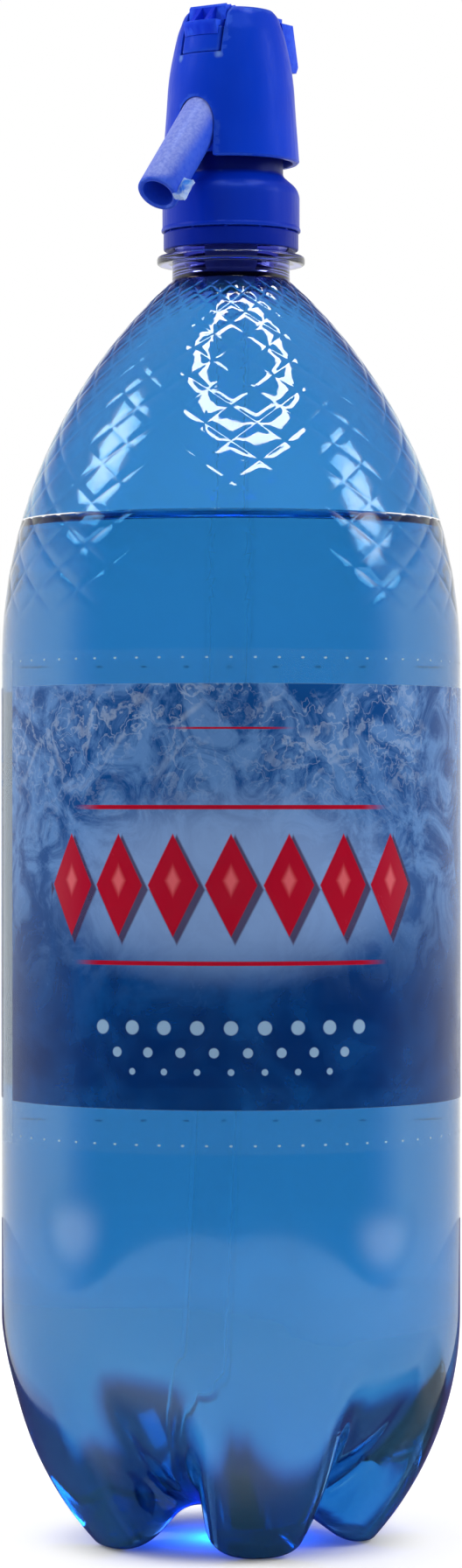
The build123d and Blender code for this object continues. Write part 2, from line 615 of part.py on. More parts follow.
def make_head_shell():
    """Shell over the valve, notched for the lever and slotted for the spout."""
    reach = 2 * SHELL_FOOT_R
    slot_r = SPOUT_R + SLOT_GAP
    deck = disc(SHELL_SHOULDER_R - SHELL_WALL / 2, BARREL_TOP_Z, DECK_TOP_Z)
    shell = shell_wall() + deck - disc(SPIGOT_R + FACE_GAP, BARREL_TOP_Z - OVERCUT, DECK_TOP_Z + OVERCUT)
    shell -= block((-NOTCH_HALF, -reach, NOTCH_FRONT_Z), (NOTCH_HALF, 0, SHELL_TOP_Z + OVERCUT))
    shell -= block((-NOTCH_HALF, -EPS, NOTCH_REAR_Z), (NOTCH_HALF, reach, SHELL_TOP_Z + OVERCUT))
    shell -= spout_bar(slot_r, -SPOUT_ROOT - SLOT_GAP, SPOUT_REACH)
    return shell - block((-slot_r, -reach, SHELL_FOOT_Z - OVERCUT), (slot_r, -BARREL_R, SPOUT_EXIT_Z))


def make_hinge_tongue():
    """The strip of shell wall between the two slits, which bends when the lever is pressed."""
    low = NOTCH_FRONT_Z + HINGE_GAP
    strip = block((-TONGUE_HALF, -2 * SHELL_FOOT_R, low), (TONGUE_HALF, 0, TONGUE_TOP_Z))
    inside = shell_form(-SHELL_WALL, SHELL_FOOT_Z, SHELL_TOP_Z, EPS)
    return (shell_form(0, SHELL_FOOT_Z, SHELL_TOP_Z, EPS) - inside) & strip


# ---- lever -------------------------------------------------------------------------------
def lever_lip():
    """Front lip of the lever with its scooped underside, hooked over the tongue."""
    root_r = -BAR_FRONT_Y - OVERCUT
    scoop_r = shell_r(SCOOP_FOOT_Z) + FACE_GAP
    lip = turned([(root_r, LIP_FOOT_Z), (shell_r(TONGUE_TOP_Z) + FACE_GAP, LIP_FOOT_Z),
                  (scoop_r, SCOOP_FOOT_Z), (scoop_r + SCOOP_T, SCOOP_FOOT_Z),
                  (LIP_R, LIP_TOP_Z - LIP_EDGE_T), (LIP_R, LIP_TOP_Z), (root_r, LIP_TOP_Z)])
    return lip & block((-LIP_HALF, -LIP_R - OVERCUT, SCOOP_FOOT_Z), (LIP_HALF, 0, LIP_TOP_Z))


def lever_pad():
    """Thumb pad at the rear, hanging over the outside of the shell."""
    foot_y = shell_r(PAD_FOOT_Z + PAD_FOOT_CUT) + PAD_PROUD
    pad = across([(0, PAD_TOP_Z), (SHELL_BROW_R + PAD_PROUD, PAD_TOP_Z),
                  (foot_y, PAD_FOOT_Z + PAD_FOOT_CUT), (foot_y - PAD_FOOT_TUCK, PAD_FOOT_Z),
                  (0, PAD_FOOT_Z)], PAD_HALF)
    return pad - shell_form(PAD_CLEAR, SHELL_FOOT_Z, SHELL_TOP_Z, EPS)


def make_thumb_lever():
    """Thumb lever: scooped front lip, gussets, ridged bar, pusher and rear pad."""
    lever = block((-BAR_HALF, BAR_FRONT_Y, BAR_FOOT_Z), (BAR_HALF, SHELL_NECK_R + PAD_CLEAR, SHELL_TOP_Z))
    lever += block((-LIP_HALF, BAR_FRONT_Y, LIP_FOOT_Z), (LIP_HALF, BAR_FRONT_Y + BAR_T / 2, SHELL_TOP_Z))
    lever += lever_lip() + lever_pad() + disc(PUSHER_R, PUSHER_FOOT_Z, BAR_FOOT_Z + EPS)
    gusset = across([(BAR_FRONT_Y + EPS, LIP_TOP_Z - EPS), (BAR_FRONT_Y - GUSSET_RUN, LIP_TOP_Z - EPS),
                     (BAR_FRONT_Y + EPS, SHELL_TOP_Z)], GUSSET_T / 2)
    for side in (-1, 1):
        lever += Pos(side * GUSSET_X, 0, 0) * gusset
    for step in range(RIDGES):
        middle = BAR_FRONT_Y + RIDGE_W / 2 + step * RIDGE_PITCH
        lever += across([(middle - RIDGE_W / 2, SHELL_TOP_Z - EPS), (middle, SHELL_TOP_Z + RIDGE_H),
                         (middle + RIDGE_W / 2, SHELL_TOP_Z - EPS)], BAR_HALF)
    return lever


PIECES = {
    "bottle": make_bottle,
    "soda_water": make_soda_water,
    "label_wrap": make_label_wrap,
    "dip_tube": make_dip_tube,
    "tube_socket": make_tube_socket,
    "screw_collar": make_screw_collar,
    "tamper_band": make_tamper_band,
    "neck_gasket": make_neck_gasket,
    "valve_body": make_valve_body,
    "valve_seat": make_valve_seat,
    "seat_ring": make_seat_ring,
    "valve_stem": make_valve_stem,
    "poppet_washer": make_poppet_washer,
    "washer_retainer": make_washer_retainer,
    "return_spring": make_return_spring,
    "stem_ring": make_stem_ring,
    "stem_guide": make_stem_guide,
    "spout": make_spout,
    "head_shell": make_head_shell,
    "hinge_tongue": make_hinge_tongue,
    "thumb_lever": make_thumb_lever,
}

os.makedirs("parts", exist_ok=True)
for name, make in PIECES.items():
    export_step(make(), f"parts/{name}.step")
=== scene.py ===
"""Soda siphon: the dressed model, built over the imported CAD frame.

Lengths in the classes are millimetres and angles are degrees, unless a name says otherwise; the studio is
in metres. A mesh is scaled to metres when it becomes a piece. Polar angles run from +X towards +Y.
"""

from __future__ import annotations

import logging
import math
from dataclasses import dataclass
from enum import Enum
from functools import reduce
from typing import Callable, Iterable, Sequence

import bmesh
import bpy
from bmesh.types import BMEdge, BMFace, BMVert
from mathutils import Matrix, Vector, noise


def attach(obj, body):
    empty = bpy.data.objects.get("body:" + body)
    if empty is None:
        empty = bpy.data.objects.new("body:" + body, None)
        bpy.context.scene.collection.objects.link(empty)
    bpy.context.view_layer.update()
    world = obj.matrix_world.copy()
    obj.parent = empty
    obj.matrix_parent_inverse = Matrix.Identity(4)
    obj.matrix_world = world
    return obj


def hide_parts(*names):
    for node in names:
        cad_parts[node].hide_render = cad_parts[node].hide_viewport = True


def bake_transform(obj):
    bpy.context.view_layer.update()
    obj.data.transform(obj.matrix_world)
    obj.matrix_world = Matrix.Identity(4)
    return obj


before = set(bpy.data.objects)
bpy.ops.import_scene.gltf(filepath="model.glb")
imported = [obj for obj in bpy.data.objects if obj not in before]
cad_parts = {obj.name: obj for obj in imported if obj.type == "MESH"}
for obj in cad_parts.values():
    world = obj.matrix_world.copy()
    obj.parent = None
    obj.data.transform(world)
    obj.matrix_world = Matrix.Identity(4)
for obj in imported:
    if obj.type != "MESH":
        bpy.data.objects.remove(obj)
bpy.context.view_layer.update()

LOG = logging.getLogger("siphon")
MM = 0.001
FRONT_DEG = -55.5
STEPS_FINE = 264
STEPS_NECK = 88
MERGE_MM = 0.002
FLAT_DEG = 1.0
ORIGIN = (0.0, 0.0, 0.0)
UP = (0.0, 0.0, 1.0)
WHITE = (1.0, 1.0, 1.0)

Color = tuple[float, float, float]
Point = tuple[float, float]
Object = bpy.types.Object
Material = bpy.types.Material
Tree = bpy.types.NodeTree
Node = bpy.types.Node
Socket = bpy.types.NodeSocket


class Body(Enum):
    """The rigid bodies that pieces ride on."""

    SIPHON = "siphon"
    LEVER = "lever"
    VALVE = "valve"


class Slot(Enum):
    """Finish slot names that the pieces are passed."""

    PET = "pet"
    WATER = "water"
    FILM = "film"
    HEAD = "head_blue"
    LEVER = "lever_blue"
    SPOUT = "spout_blue"
    STEEL = "spring_steel"


def smoothstep(value: float) -> float:
    """Eases a value from 0 to 1, and holds it between them."""
    held = min(1.0, max(0.0, value))
    return held * held * (3.0 - 2.0 * held)


def soft_max(first: float, second: float, reach: float) -> float:
    """Gives the larger of two distances, rounded where they differ by less than a reach."""
    share = max(0.0, reach - abs(first - second)) / reach
    return max(first, second) + 0.25 * share * share * reach


def put(name: str, data: bpy.types.ID, hidden: Iterable[str] = ()) -> Object:
    """Adds an object to the scene.

    Args:
        name: Its name.
        data: Its mesh, lamp or camera.
        hidden: Kinds of ray that don't see it.

    Returns:
        The new object.
    """
    made = bpy.data.objects.new(name, data)
    bpy.context.scene.collection.objects.link(made)
    for ray in hidden:
        setattr(made, "visible_" + ray, False)
    return made


# --------------------------------------------------------------------------- shapes


class Form:
    """A mesh being shaped with bmesh operators, in millimetres."""

    def __init__(self) -> None:
        """Starts an empty mesh."""
        self.bm = bmesh.new()

    @classmethod
    def sheet(cls, size: Point, cuts: tuple[int, int] = (1, 1)) -> Form:
        """Makes a flat sheet.

        Args:
            size: Its width and depth.
            cuts: Number of faces along each.

        Returns:
            The form.
        """
        form = cls()
        bmesh.ops.create_grid(form.bm, x_segments=cuts[0], y_segments=cuts[1], size=0.5)
        bmesh.ops.scale(form.bm, vec=(*size, 1.0), verts=form.verts)
        return form

    @classmethod
    def node(cls, name: str) -> Form:
        """Makes a merged copy of a CAD node's mesh, with its flat areas as single faces.

        Args:
            name: The node.

        Returns:
            The form.
        """
        form = cls()
        form.bm.from_mesh(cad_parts[name].data)
        bmesh.ops.scale(form.bm, vec=(1 / MM,) * 3, verts=form.verts)
        bmesh.ops.remove_doubles(form.bm, verts=form.verts, dist=MERGE_MM)
        bmesh.ops.dissolve_limit(
            form.bm, angle_limit=math.radians(FLAT_DEG), verts=form.verts, edges=form.bm.edges[:]
        )
        return form

    @classmethod
    def lathe(
        cls,
        rows: Sequence[Sequence[float]],
        steps: int = STEPS_NECK,
        start_deg: float = 0.0,
        longest: float = math.inf,
        closed: bool = True,
    ) -> Form:
        """Turns an outline round the Z axis.

        Args:
            rows: Radius and height of each corner, and how far its rounding reaches.
            steps: Segments round the turn.
            start_deg: Polar angle of the first one.
            longest: Longest step along the outline.
            closed: Whether the outline comes back to its first corner.

        Returns:
            The form.
        """
        form = cls()
        form.trace(rows, closed)
        form.divide(longest)
        form.turn(steps, start_deg)
        return form

    @property
    def verts(self) -> list[BMVert]:
        """Every vertex."""
        return self.bm.verts[:]

    def start(self, radius: float, height: float) -> BMVert:
        """Puts down the first vertex of an outline in the XZ plane."""
        return bmesh.ops.create_vert(self.bm, co=(radius, 0.0, height))["vert"][0]

    def run(self, last: BMVert, radius: float, height: float) -> BMVert:
        """Draws a straight run on from a vertex.

        Args:
            last: The vertex to go on from.
            radius: Radius of the run's end.
            height: Height of the run's end.

        Returns:
            The vertex at the run's end.
        """
        end = bmesh.ops.extrude_vert_indiv(self.bm, verts=[last])["verts"][0]
        end.co = (radius, 0.0, height)
        return end

    def sweep(self, last: BMVert, centre: Point, degrees: float, steps: int) -> BMVert:
        """Draws an arc on from a vertex, counter-clockwise for a positive angle.

        Args:
            last: The vertex to go on from.
            centre: Radius and height of the arc's centre.
            degrees: Angle of the arc.
            steps: Number of segments.

        Returns:
            The vertex at the arc's end.
        """
        made = bmesh.ops.spin(
            self.bm,
            geom=[last],
            cent=(centre[0], 0.0, centre[1]),
            axis=(0.0, -1.0, 0.0),
            angle=math.radians(degrees),
            steps=steps,
        )
        return next(part for part in made["geom_last"] if isinstance(part, BMVert))

    def bevel(self, geom: list, width: float, segments: int, affect: str) -> None:
        """Rounds vertices or edges; the roundings of edges stop where they meet.

        Args:
            geom: The vertices or edges.
            width: How far each rounding reaches.
            segments: Segments of each rounding.
            affect: VERTICES or EDGES.
        """
        bmesh.ops.bevel(
            self.bm,
            geom=geom,
            offset=width,
            affect=affect,
            segments=segments,
            profile=0.5,
            material=-1,
            clamp_overlap=affect == "EDGES",
        )

    def ease(self, corners: Iterable[tuple[BMVert, float]], segments: int = 4) -> None:
        """Rounds corners of an outline, each as far along its edges as it is given."""
        for corner, reach in corners:
            self.bevel([corner], reach, segments, "VERTICES")

    def trace(self, rows: Sequence[Sequence[float]], closed: bool = False) -> None:
        """Draws straight runs through corners.

        Args:
            rows: Radius and height of each corner, and how far its rounding reaches.
            closed: Whether the outline comes back to its first corner.
        """
        corners = [self.start(*rows[0][:2])]
        for row in rows[1:]:
            corners.append(self.run(corners[-1], *row[:2]))
        if closed:
            self.bm.edges.new((corners[-1], corners[0]))
        self.ease([(corner, row[2]) for corner, row in zip(corners, rows) if len(row) > 2])

    def divide(self, length: float, below: float = math.inf) -> None:
        """Cuts every edge into pieces no longer than a length.

        Args:
            length: Longest piece.
            below: Only edges under this height are cut.
        """
        by_cuts: dict[int, list[BMEdge]] = {}
        for edge in self.bm.edges:
            cuts = math.ceil(edge.calc_length() / length) - 1
            if cuts > 0 and max(vert.co.z for vert in edge.verts) <= below + MERGE_MM:
                by_cuts.setdefault(cuts, []).append(edge)
        for cuts, edges in by_cuts.items():
            bmesh.ops.subdivide_edges(self.bm, edges=edges, cuts=cuts)

    def turn(self, steps: int, start_deg: float = 0.0) -> None:
        """Spins everything a full turn round the Z axis.

        Args:
            steps: Number of segments round the turn.
            start_deg: Polar angle of the first one.
        """
        start = Matrix.Rotation(math.radians(start_deg), 3, "Z")
        bmesh.ops.rotate(self.bm, verts=self.verts, matrix=start)
        geom = self.verts + self.bm.edges[:]
        bmesh.ops.spin(self.bm, geom=geom, axis=UP, angle=math.tau, steps=steps, use_merge=True)
        bmesh.ops.remove_doubles(self.bm, verts=self.verts, dist=MERGE_MM)
        bmesh.ops.recalc_face_normals(self.bm, faces=self.bm.faces[:])

    def each(self, move: Callable[[Vector], Vector]) -> None:
        """Moves every vertex by a rule."""
        for vert in self.bm.verts:
            vert.co = move(vert.co)

    def swell(self, distance: float) -> None:
        """Moves the surface out along its normals.

        Args:
            distance: How far, and inwards where it is negative.
        """
        self.bm.normal_update()
        for vert, place in [(vert, vert.co + vert.normal * distance) for vert in self.bm.verts]:
            vert.co = place

    def mesh(self, name: str) -> bpy.types.Mesh:
        """Writes the form to a mesh and frees it.

        Args:
            name: Name of the mesh.

        Returns:
            The mesh.
        """
        mesh = bpy.data.meshes.new(name)
        self.bm.to_mesh(mesh)
        self.bm.free()
        return mesh

    def add(self, other: Form) -> None:
        """Takes in another form's mesh and frees it.

        Args:
            other: The other form.
        """
        carrier = other.mesh("carrier")
        self.bm.from_mesh(carrier)
        bpy.data.meshes.remove(carrier)

    def weld_borders(self, distance: float) -> None:
        """Joins open borders that lie on each other."""
        border = [vert for vert in self.bm.verts if any(edge.is_boundary for edge in vert.link_edges)]
        bmesh.ops.remove_doubles(self.bm, verts=border, dist=distance)

    def cut_rows(self, step: float, spare: float = 0.3) -> None:
        """Cuts the mesh with level planes.

        Args:
            step: Distance between two planes.
            spare: Share of a step under the top that no plane comes into.
        """
        heights = [vert.co.z for vert in self.bm.verts]
        height, top = min(heights) + step, max(heights)
        while height < top - spare * step:
            geom = self.verts + self.bm.edges[:] + self.bm.faces[:]
            level = (0.0, 0.0, height)
            bmesh.ops.bisect_plane(self.bm, geom=geom, dist=MERGE_MM, plane_co=level, plane_no=UP)
            height += step

    def ridge(self, corners: Sequence[Point], pitch: float, turns: float, steps: int = 72) -> None:
        """Winds a closed section round the Z axis as a screw thread.

        Args:
            corners: Radius and height of the section's corners.
            pitch: Rise per turn.
            turns: Number of turns.
            steps: Segments per turn.
        """
        self.trace(corners, closed=True)
        face = bmesh.ops.contextual_create(self.bm, geom=self.verts)["faces"][0]
        bmesh.ops.spin(
            self.bm,
            geom=[face, *face.edges, *face.verts],
            axis=UP,
            dvec=(0.0, 0.0, pitch / steps),
            angle=math.tau * turns,
            steps=round(steps * turns),
        )
        bmesh.ops.recalc_face_normals(self.bm, faces=self.bm.faces[:])

    def break_edges(self, width: float, sharp_deg: float = 30.0, segments: int = 2) -> None:
        """Rounds the sharp edges of a solid.

        Args:
            width: How far each rounding reaches on its faces.
            sharp_deg: Edges that turn by more than this are rounded.
            segments: Segments of each rounding.
        """
        limit = math.radians(sharp_deg)
        edges = [e for e in self.bm.edges if e.is_manifold and e.calc_face_angle(0.0) > limit]
        self.bevel(edges, width, segments, "EDGES")

    def piece(
        self,
        name: str,
        body: Body | None,
        slot: Slot,
        material: Material,
        replaces: Sequence[str] = (),
        sharp_deg: float = 40.0,
        outward: bool = True,
    ) -> Object:
        """Makes the mesh an object of the scene.

        Args:
            name: Name of the piece.
            body: Body that it moves with, or None to leave it on no body.
            slot: Finish slot that it would take; not used.
            material: Material that it wears.
            replaces: CAD nodes that it stands for.
            sharp_deg: Edges that turn by more than this stay sharp.
            outward: Whether the normals are worked out again here.

        Returns:
            The new object.
        """
        if outward:
            bmesh.ops.recalc_face_normals(self.bm, faces=self.bm.faces[:])
        open_edges = sum(1 for edge in self.bm.edges if len(edge.link_faces) != 2)
        bmesh.ops.scale(self.bm, vec=(MM,) * 3, verts=self.verts)
        mesh = self.mesh(name)
        mesh.polygons.foreach_set("use_smooth", [True] * len(mesh.polygons))
        mesh.set_sharp_from_angle(angle=math.radians(sharp_deg))
        made = put(name, mesh)
        mesh.materials.append(material)
        if body:
            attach(made, body.value)
        if replaces:
            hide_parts(*replaces)
        mesh.calc_loop_triangles()
        LOG.info("piece %s: %d triangles, %d open edges", name, len(mesh.loop_triangles), open_edges)
        return made


def dress(material: Material, *nodes: str) -> None:
    """Gives carried-over CAD nodes their material.

    Args:
        material: Material that they wear.
        *nodes: Names of the nodes.
    """
    for node in nodes:
        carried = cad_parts[node]
        carried.data.materials.clear()
        carried.data.materials.append(material)
        LOG.info("node %s: %s", node, material.name)


# --------------------------------------------------------------------------- finishes


class Board:
    """A node tree being wired, with short calls for its usual nodes."""

    def __init__(self, tree: Tree) -> None:
        """Keeps the tree that nodes are added to."""
        self.tree = tree

    def add(self, kind: str, **settings: object) -> Node:
        """Adds a node.

        Args:
            kind: Its type, without the words that all shader nodes start with.
            **settings: Properties to set on it.

        Returns:
            The node.
        """
        node = self.tree.nodes.new("ShaderNode" + kind)
        for key, value in settings.items():
            setattr(node, key, value)
        return node

    def join(self, value: object, socket: Socket) -> None:
        """Feeds a socket.

        Args:
            value: Another socket, a number, a colour, or None to leave it alone.
            socket: The socket.
        """
        if isinstance(value, Socket):
            self.tree.links.new(value, socket)
        elif value is not None:
            bare = socket.type == "RGBA" and len(value) == len(WHITE)
            socket.default_value = (*value, 1.0) if bare else value

    def feed(self, node: Node, values: dict) -> Node:
        """Feeds several inputs of a node.

        Args:
            node: The node.
            values: Value or socket for each input, by its name or number.

        Returns:
            The node.
        """
        for key, value in values.items():
            self.join(value, node.inputs[key])
        return node

    def math(self, operation: str, *values: object, clamp: bool = False) -> Socket:
        """Adds a Math node, which may be held between 0 and 1."""
        node = self.add("Math", operation=operation, use_clamp=clamp)
        return self.feed(node, dict(enumerate(values))).outputs[0]

    def times(self, *values: object) -> Socket:
        """Multiplies values."""
        return reduce(lambda first, second: self.math("MULTIPLY", first, second), values)

    def plus(self, *values: object) -> Socket:
        """Adds values up."""
        return reduce(lambda first, second: self.math("ADD", first, second), values)

    def most(self, *values: object) -> Socket:
        """Gives the largest value."""
        return reduce(lambda first, second: self.math("MAXIMUM", first, second), values)

    def rest(self, share: object) -> Socket:
        """Gives what a share leaves of one."""
        return self.math("SUBTRACT", 1.0, share)

    def blend(self, share: object, off: object, on: object) -> Socket:
        """Mixes two numbers by a share."""
        return self.plus(self.times(share, on), self.times(self.rest(share), off))

    def measure(self, operation: str, vector: object, other: object = None) -> Socket:
        """Adds a Vector Math node that gives a number."""
        node = self.add("VectorMath", operation=operation)
        return self.feed(node, {0: vector, 1: other}).outputs["Value"]

    def ramp(self, value: object, low: object, high: object, off: object = 0.0, on: object = 1.0) -> Socket:
        """Eases a value between two limits from one result to another."""
        node = self.add("MapRange", interpolation_type="SMOOTHSTEP")
        return self.feed(node, dict(enumerate((value, low, high, off, on)))).outputs[0]

    def mix(self, share: object, first: object, second: object, blend: str = "MIX") -> Socket:
        """Mixes two colours by the share of the second one."""
        node = self.add("Mix", data_type="RGBA", blend_type=blend)
        return self.feed(node, {0: share, 6: first, 7: second}).outputs[2]

    def noise(
        self,
        scale: object,
        detail: float = 3.0,
        vector: object = None,
        rough: float = 0.5,
        warp: float = 0.0,
        kind: str = "FBM",
    ) -> Socket:
        """Adds a noise texture.

        Args:
            scale: Its scale, per metre.
            detail: Number of octaves.
            vector: Coordinates to read in place of Object coordinates.
            rough: Share of each finer octave.
            warp: Distortion.
            kind: Type of noise.

        Returns:
            Its value.
        """
        values = {"Scale": scale, "Detail": detail, "Roughness": rough, "Distortion": warp}
        values["Vector"] = vector or self.place()
        return self.feed(self.add("TexNoise", noise_type=kind), values).outputs["Fac"]

    def cloud(self, scale: float, detail: float, low: float, high: float) -> Socket:
        """Gives soft noise between two values."""
        return self.ramp(self.noise(scale, detail), 0.3, 0.7, low, high)

    def place(self) -> Socket:
        """Gives Object coordinates."""
        return self.add("TexCoord").outputs["Object"]

    def part(self, vector: object, axis: str) -> Socket:
        """Gives one part of a vector."""
        return self.feed(self.add("SeparateXYZ"), {0: vector}).outputs[axis]

    def stretch(self, scale: Color, turn_deg: Color = ORIGIN) -> Socket:
        """Gives Object coordinates scaled and turned on each axis."""
        values = {"Scale": scale, "Rotation": tuple(math.radians(value) for value in turn_deg)}
        return self.feed(self.add("Mapping"), values | {"Vector": self.place()}).outputs["Vector"]

    def height(self) -> Socket:
        """Gives the height above the floor, in metres."""
        return self.part(self.place(), "Z")

    def group(self, tree: Tree, **inputs: object) -> Node:
        """Places a node group, with values or sockets for its inputs."""
        return self.feed(self.add("Group", node_tree=tree), inputs)

    def bump(self, height: object, strength: float, distance_mm: float, normal: object = None) -> Socket:
        """Adds a Bump node, on top of another normal where it is given one."""
        values = {"Height": height, "Strength": strength, "Distance": distance_mm * MM, "Normal": normal}
        return self.feed(self.add("Bump"), values).outputs["Normal"]

    def show(self, shader: Node, kind: str = "Material") -> None:
        """Puts a shader on the tree's output."""
        self.join(shader.outputs[0], self.add("Output" + kind).inputs["Surface"])


class Effects:
    """The shader node groups that several finishes share."""

    def __init__(self) -> None:
        """Builds each group once."""
        self.grain = self._grain()
        self.drift = self._drift()
        self.edge = self._edge()
        self.scratch = self._scratch()

    def _new(self, name: str, inputs: dict[str, str], outputs: dict[str, str]) -> tuple[Board, object, Node]:
        """Starts a group.

        Args:
            name: Its name.
            inputs: Kind of each input.
            outputs: Kind of each output.

        Returns:
            Its board, the sockets of its input node, and its output node.
        """
        tree = bpy.data.node_groups.new(name, "ShaderNodeTree")
        for way, sockets in (("INPUT", inputs), ("OUTPUT", outputs)):
            for key, kind in sockets.items():
                tree.interface.new_socket(key, in_out=way, socket_type="NodeSocket" + kind)
        return Board(tree), tree.nodes.new("NodeGroupInput").outputs, tree.nodes.new("NodeGroupOutput")

    def _grain(self) -> Tree:
        """Builds fine mould grain: a height and a soft variation.

        Returns:
            The group.
        """
        board, given, out = self._new(
            "mould_grain", {"Scale": "Float", "Streak": "Float"}, {"Height": "Float", "Value": "Float"}
        )
        fine = board.noise(given["Scale"], 4.0)
        drawn = board.noise(given["Scale"], 2.0, board.stretch((1.0, 1.0, 0.06)))
        height = board.plus(fine, board.times(drawn, given["Streak"]))
        board.feed(out, {"Height": height, "Value": board.ramp(drawn, 0.3, 0.7)})
        return board.tree

    def _drift(self) -> Tree:
        """Builds slow variation between two colours.

        Returns:
            The group.
        """
        inputs = {"First": "Color", "Second": "Color", "Scale": "Float"}
        board, given, out = self._new("colour_drift", inputs, {"Color": "Color"})
        share = board.ramp(board.noise(given["Scale"], 2.0), 0.3, 0.7)
        board.feed(out, {"Color": board.mix(share, given["First"], given["Second"])})
        return board.tree

    def _edge(self) -> Tree:
        """Builds a mask of outer edges, broken up by noise.

        Returns:
            The group.
        """
        board, given, out = self._new("edge_wear", {"Reach": "Float"}, {"Mask": "Float"})
        point = board.add("NewGeometry").outputs["Pointiness"]
        worn = board.ramp(point, 0.505, board.plus(0.5, given["Reach"]))
        broken = board.ramp(board.noise(900.0, 3.0), 0.25, 0.6, 0.45, 1.0)
        board.feed(out, {"Mask": board.math("MULTIPLY", worn, broken, clamp=True)})
        return board.tree

    def _scratch(self) -> Tree:
        """Builds a mask of thin broken lines in three directions.

        Returns:
            The group.
        """
        board, given, out = self._new("hand_scratches", {"Amount": "Float"}, {"Mask": "Float"})
        lines = []
        for scale, turn, gaps in (
            ((14.0, 14.0, 150.0), (12.0, 4.0, 0.0), 54.0),
            ((90.0, 90.0, 9.0), (3.0, -14.0, 0.0), 69.0),
            ((16.0, 16.0, 220.0), (-38.0, 20.0, 0.0), 93.0),
        ):
            line = board.noise(1.0, 2.0, board.stretch(scale, turn), kind="RIDGED_MULTIFRACTAL")
            gate = board.ramp(board.noise(gaps, 1.0), 0.5, 0.62)
            lines.append(board.times(board.ramp(line, 0.72, 0.80), gate))
        mask = board.math("MULTIPLY", board.plus(*lines), given["Amount"], clamp=True)
        board.feed(out, {"Mask": mask})
        return board.tree


EFFECTS = Effects()


def blank(name: str) -> tuple[Board, Material]:
    """Makes an empty material.

    Args:
        name: Its name.

    Returns:
        Its board and the material.
    """
    material = bpy.data.materials.new(name)
    material.use_nodes = True
    material.node_tree.nodes.clear()
    return Board(material.node_tree), material


class Finish:
    """Start of every finish: one material with one Principled BSDF."""

    name: str

    def begin(self) -> tuple[Board, Node, Material]:
        """Makes the material with its shader.

        Returns:
            Its board, its Principled BSDF and the material.
        """
        board, material = blank(self.name)
        shader = board.add("BsdfPrincipled")
        board.show(shader)
        return board, shader, material

    def clear(self, board: Board, shader: Node, values: dict, ior: float) -> None:
        """Sets a shader up for something that light goes through."""
        board.feed(shader, values | {"Metallic": 0.0, "Transmission Weight": 1.0, "IOR": ior})


@dataclass(frozen=True)
class Moulded(Finish):
    """Moulded plastic or rubber with grain, slow colour drift and paler edges.

    Marks are pale spots where the plastic has been strained, a painted top highlight lightens faces that
    look upwards above a height, and a painted gap shade darkens everything above a height.
    """

    name: str
    color: Color
    drift: Color
    edge: Color
    roughness: float = 0.38
    grain_scale: float = 1400.0
    streak: float = 0.3
    grain_mm: float = 0.03
    specular: float = 0.5
    marks: tuple[Color, ...] = ()
    mark_r: float = 1.3
    mark_rim: float = 0.5
    mark_color: Color = (0.16, 0.30, 0.72)
    sheen: Color = (0.30, 0.55, 1.0)
    # Painted shade: this dark colour covers everything above the given heights, standing in for the shade of
    # a gap.
    painted_gap_shade: Color = (0.0, 0.002, 0.13)
    painted_shade_z: Point = (900.0, 901.0)
    # Painted highlight: faces that look upwards, above a height, are lightened towards this colour in a
    # grainy cloud.
    painted_top_highlight: Color = (0.0, 0.0, 0.0)
    painted_highlight_from: float = 2.0
    painted_highlight_z: float = 0.0
    wear: float = 0.6
    wear_reach: float = 0.06
    drift_scale: float = 55.0

    def _marked(self, board: Board, base: object) -> object:
        """Adds the pale spots.

        Args:
            board: Board to build on.
            base: Colour under them.

        Returns:
            The colour with the spots.
        """
        for mark in self.marks:
            gap = board.measure("DISTANCE", board.place(), tuple(value * MM for value in mark))
            spread = board.plus(gap, board.times(board.noise(900.0), MM))
            share = board.ramp(spread, self.mark_rim * MM, (self.mark_r + self.mark_rim) * MM, 0.8, 0.0)
            base = board.mix(share, base, self.mark_color)
        return base

    def make(self) -> Material:
        """Builds the material.

        Returns:
            The material.
        """
        board, shader, material = self.begin()
        base = board.group(EFFECTS.drift, First=self.color, Second=self.drift, Scale=self.drift_scale)
        worn = board.group(EFFECTS.edge, Reach=self.wear_reach).outputs["Mask"]
        paler = board.mix(board.times(worn, self.wear), base.outputs["Color"], self.edge)
        # Painted highlight: faces that look upwards, above a height, take the lighter colour in a grainy
        # cloud.
        upper = board.part(board.add("NewGeometry").outputs["Normal"], "Z")
        facing = board.times(
            board.ramp(upper, self.painted_highlight_from, self.painted_highlight_from + 0.45),
            board.ramp(board.height(), self.painted_highlight_z * MM, (self.painted_highlight_z + 2.0) * MM),
        )
        paler = board.mix(board.times(facing, board.cloud(1500.0, 4.0, 0.55, 1.0)), paler, self.painted_top_highlight)
        # Painted shade: above the given heights the colour turns to the dark of the gap's shade.
        depth = board.ramp(board.height(), *(height * MM for height in self.painted_shade_z))
        grain = board.group(EFFECTS.grain, Scale=self.grain_scale, Streak=self.streak).outputs
        rough = (self.roughness - 0.05, self.roughness + 0.07)
        board.feed(
            shader,
            {
                "Base Color": self._marked(board, board.mix(depth, paler, self.painted_gap_shade)),
                "Roughness": board.ramp(grain["Value"], 0.0, 1.0, *rough),
                "Normal": board.bump(grain["Height"], 0.5, self.grain_mm),
                "Specular IOR Level": self.specular,
                "Specular Tint": self.sheen,
            },
        )
        return material


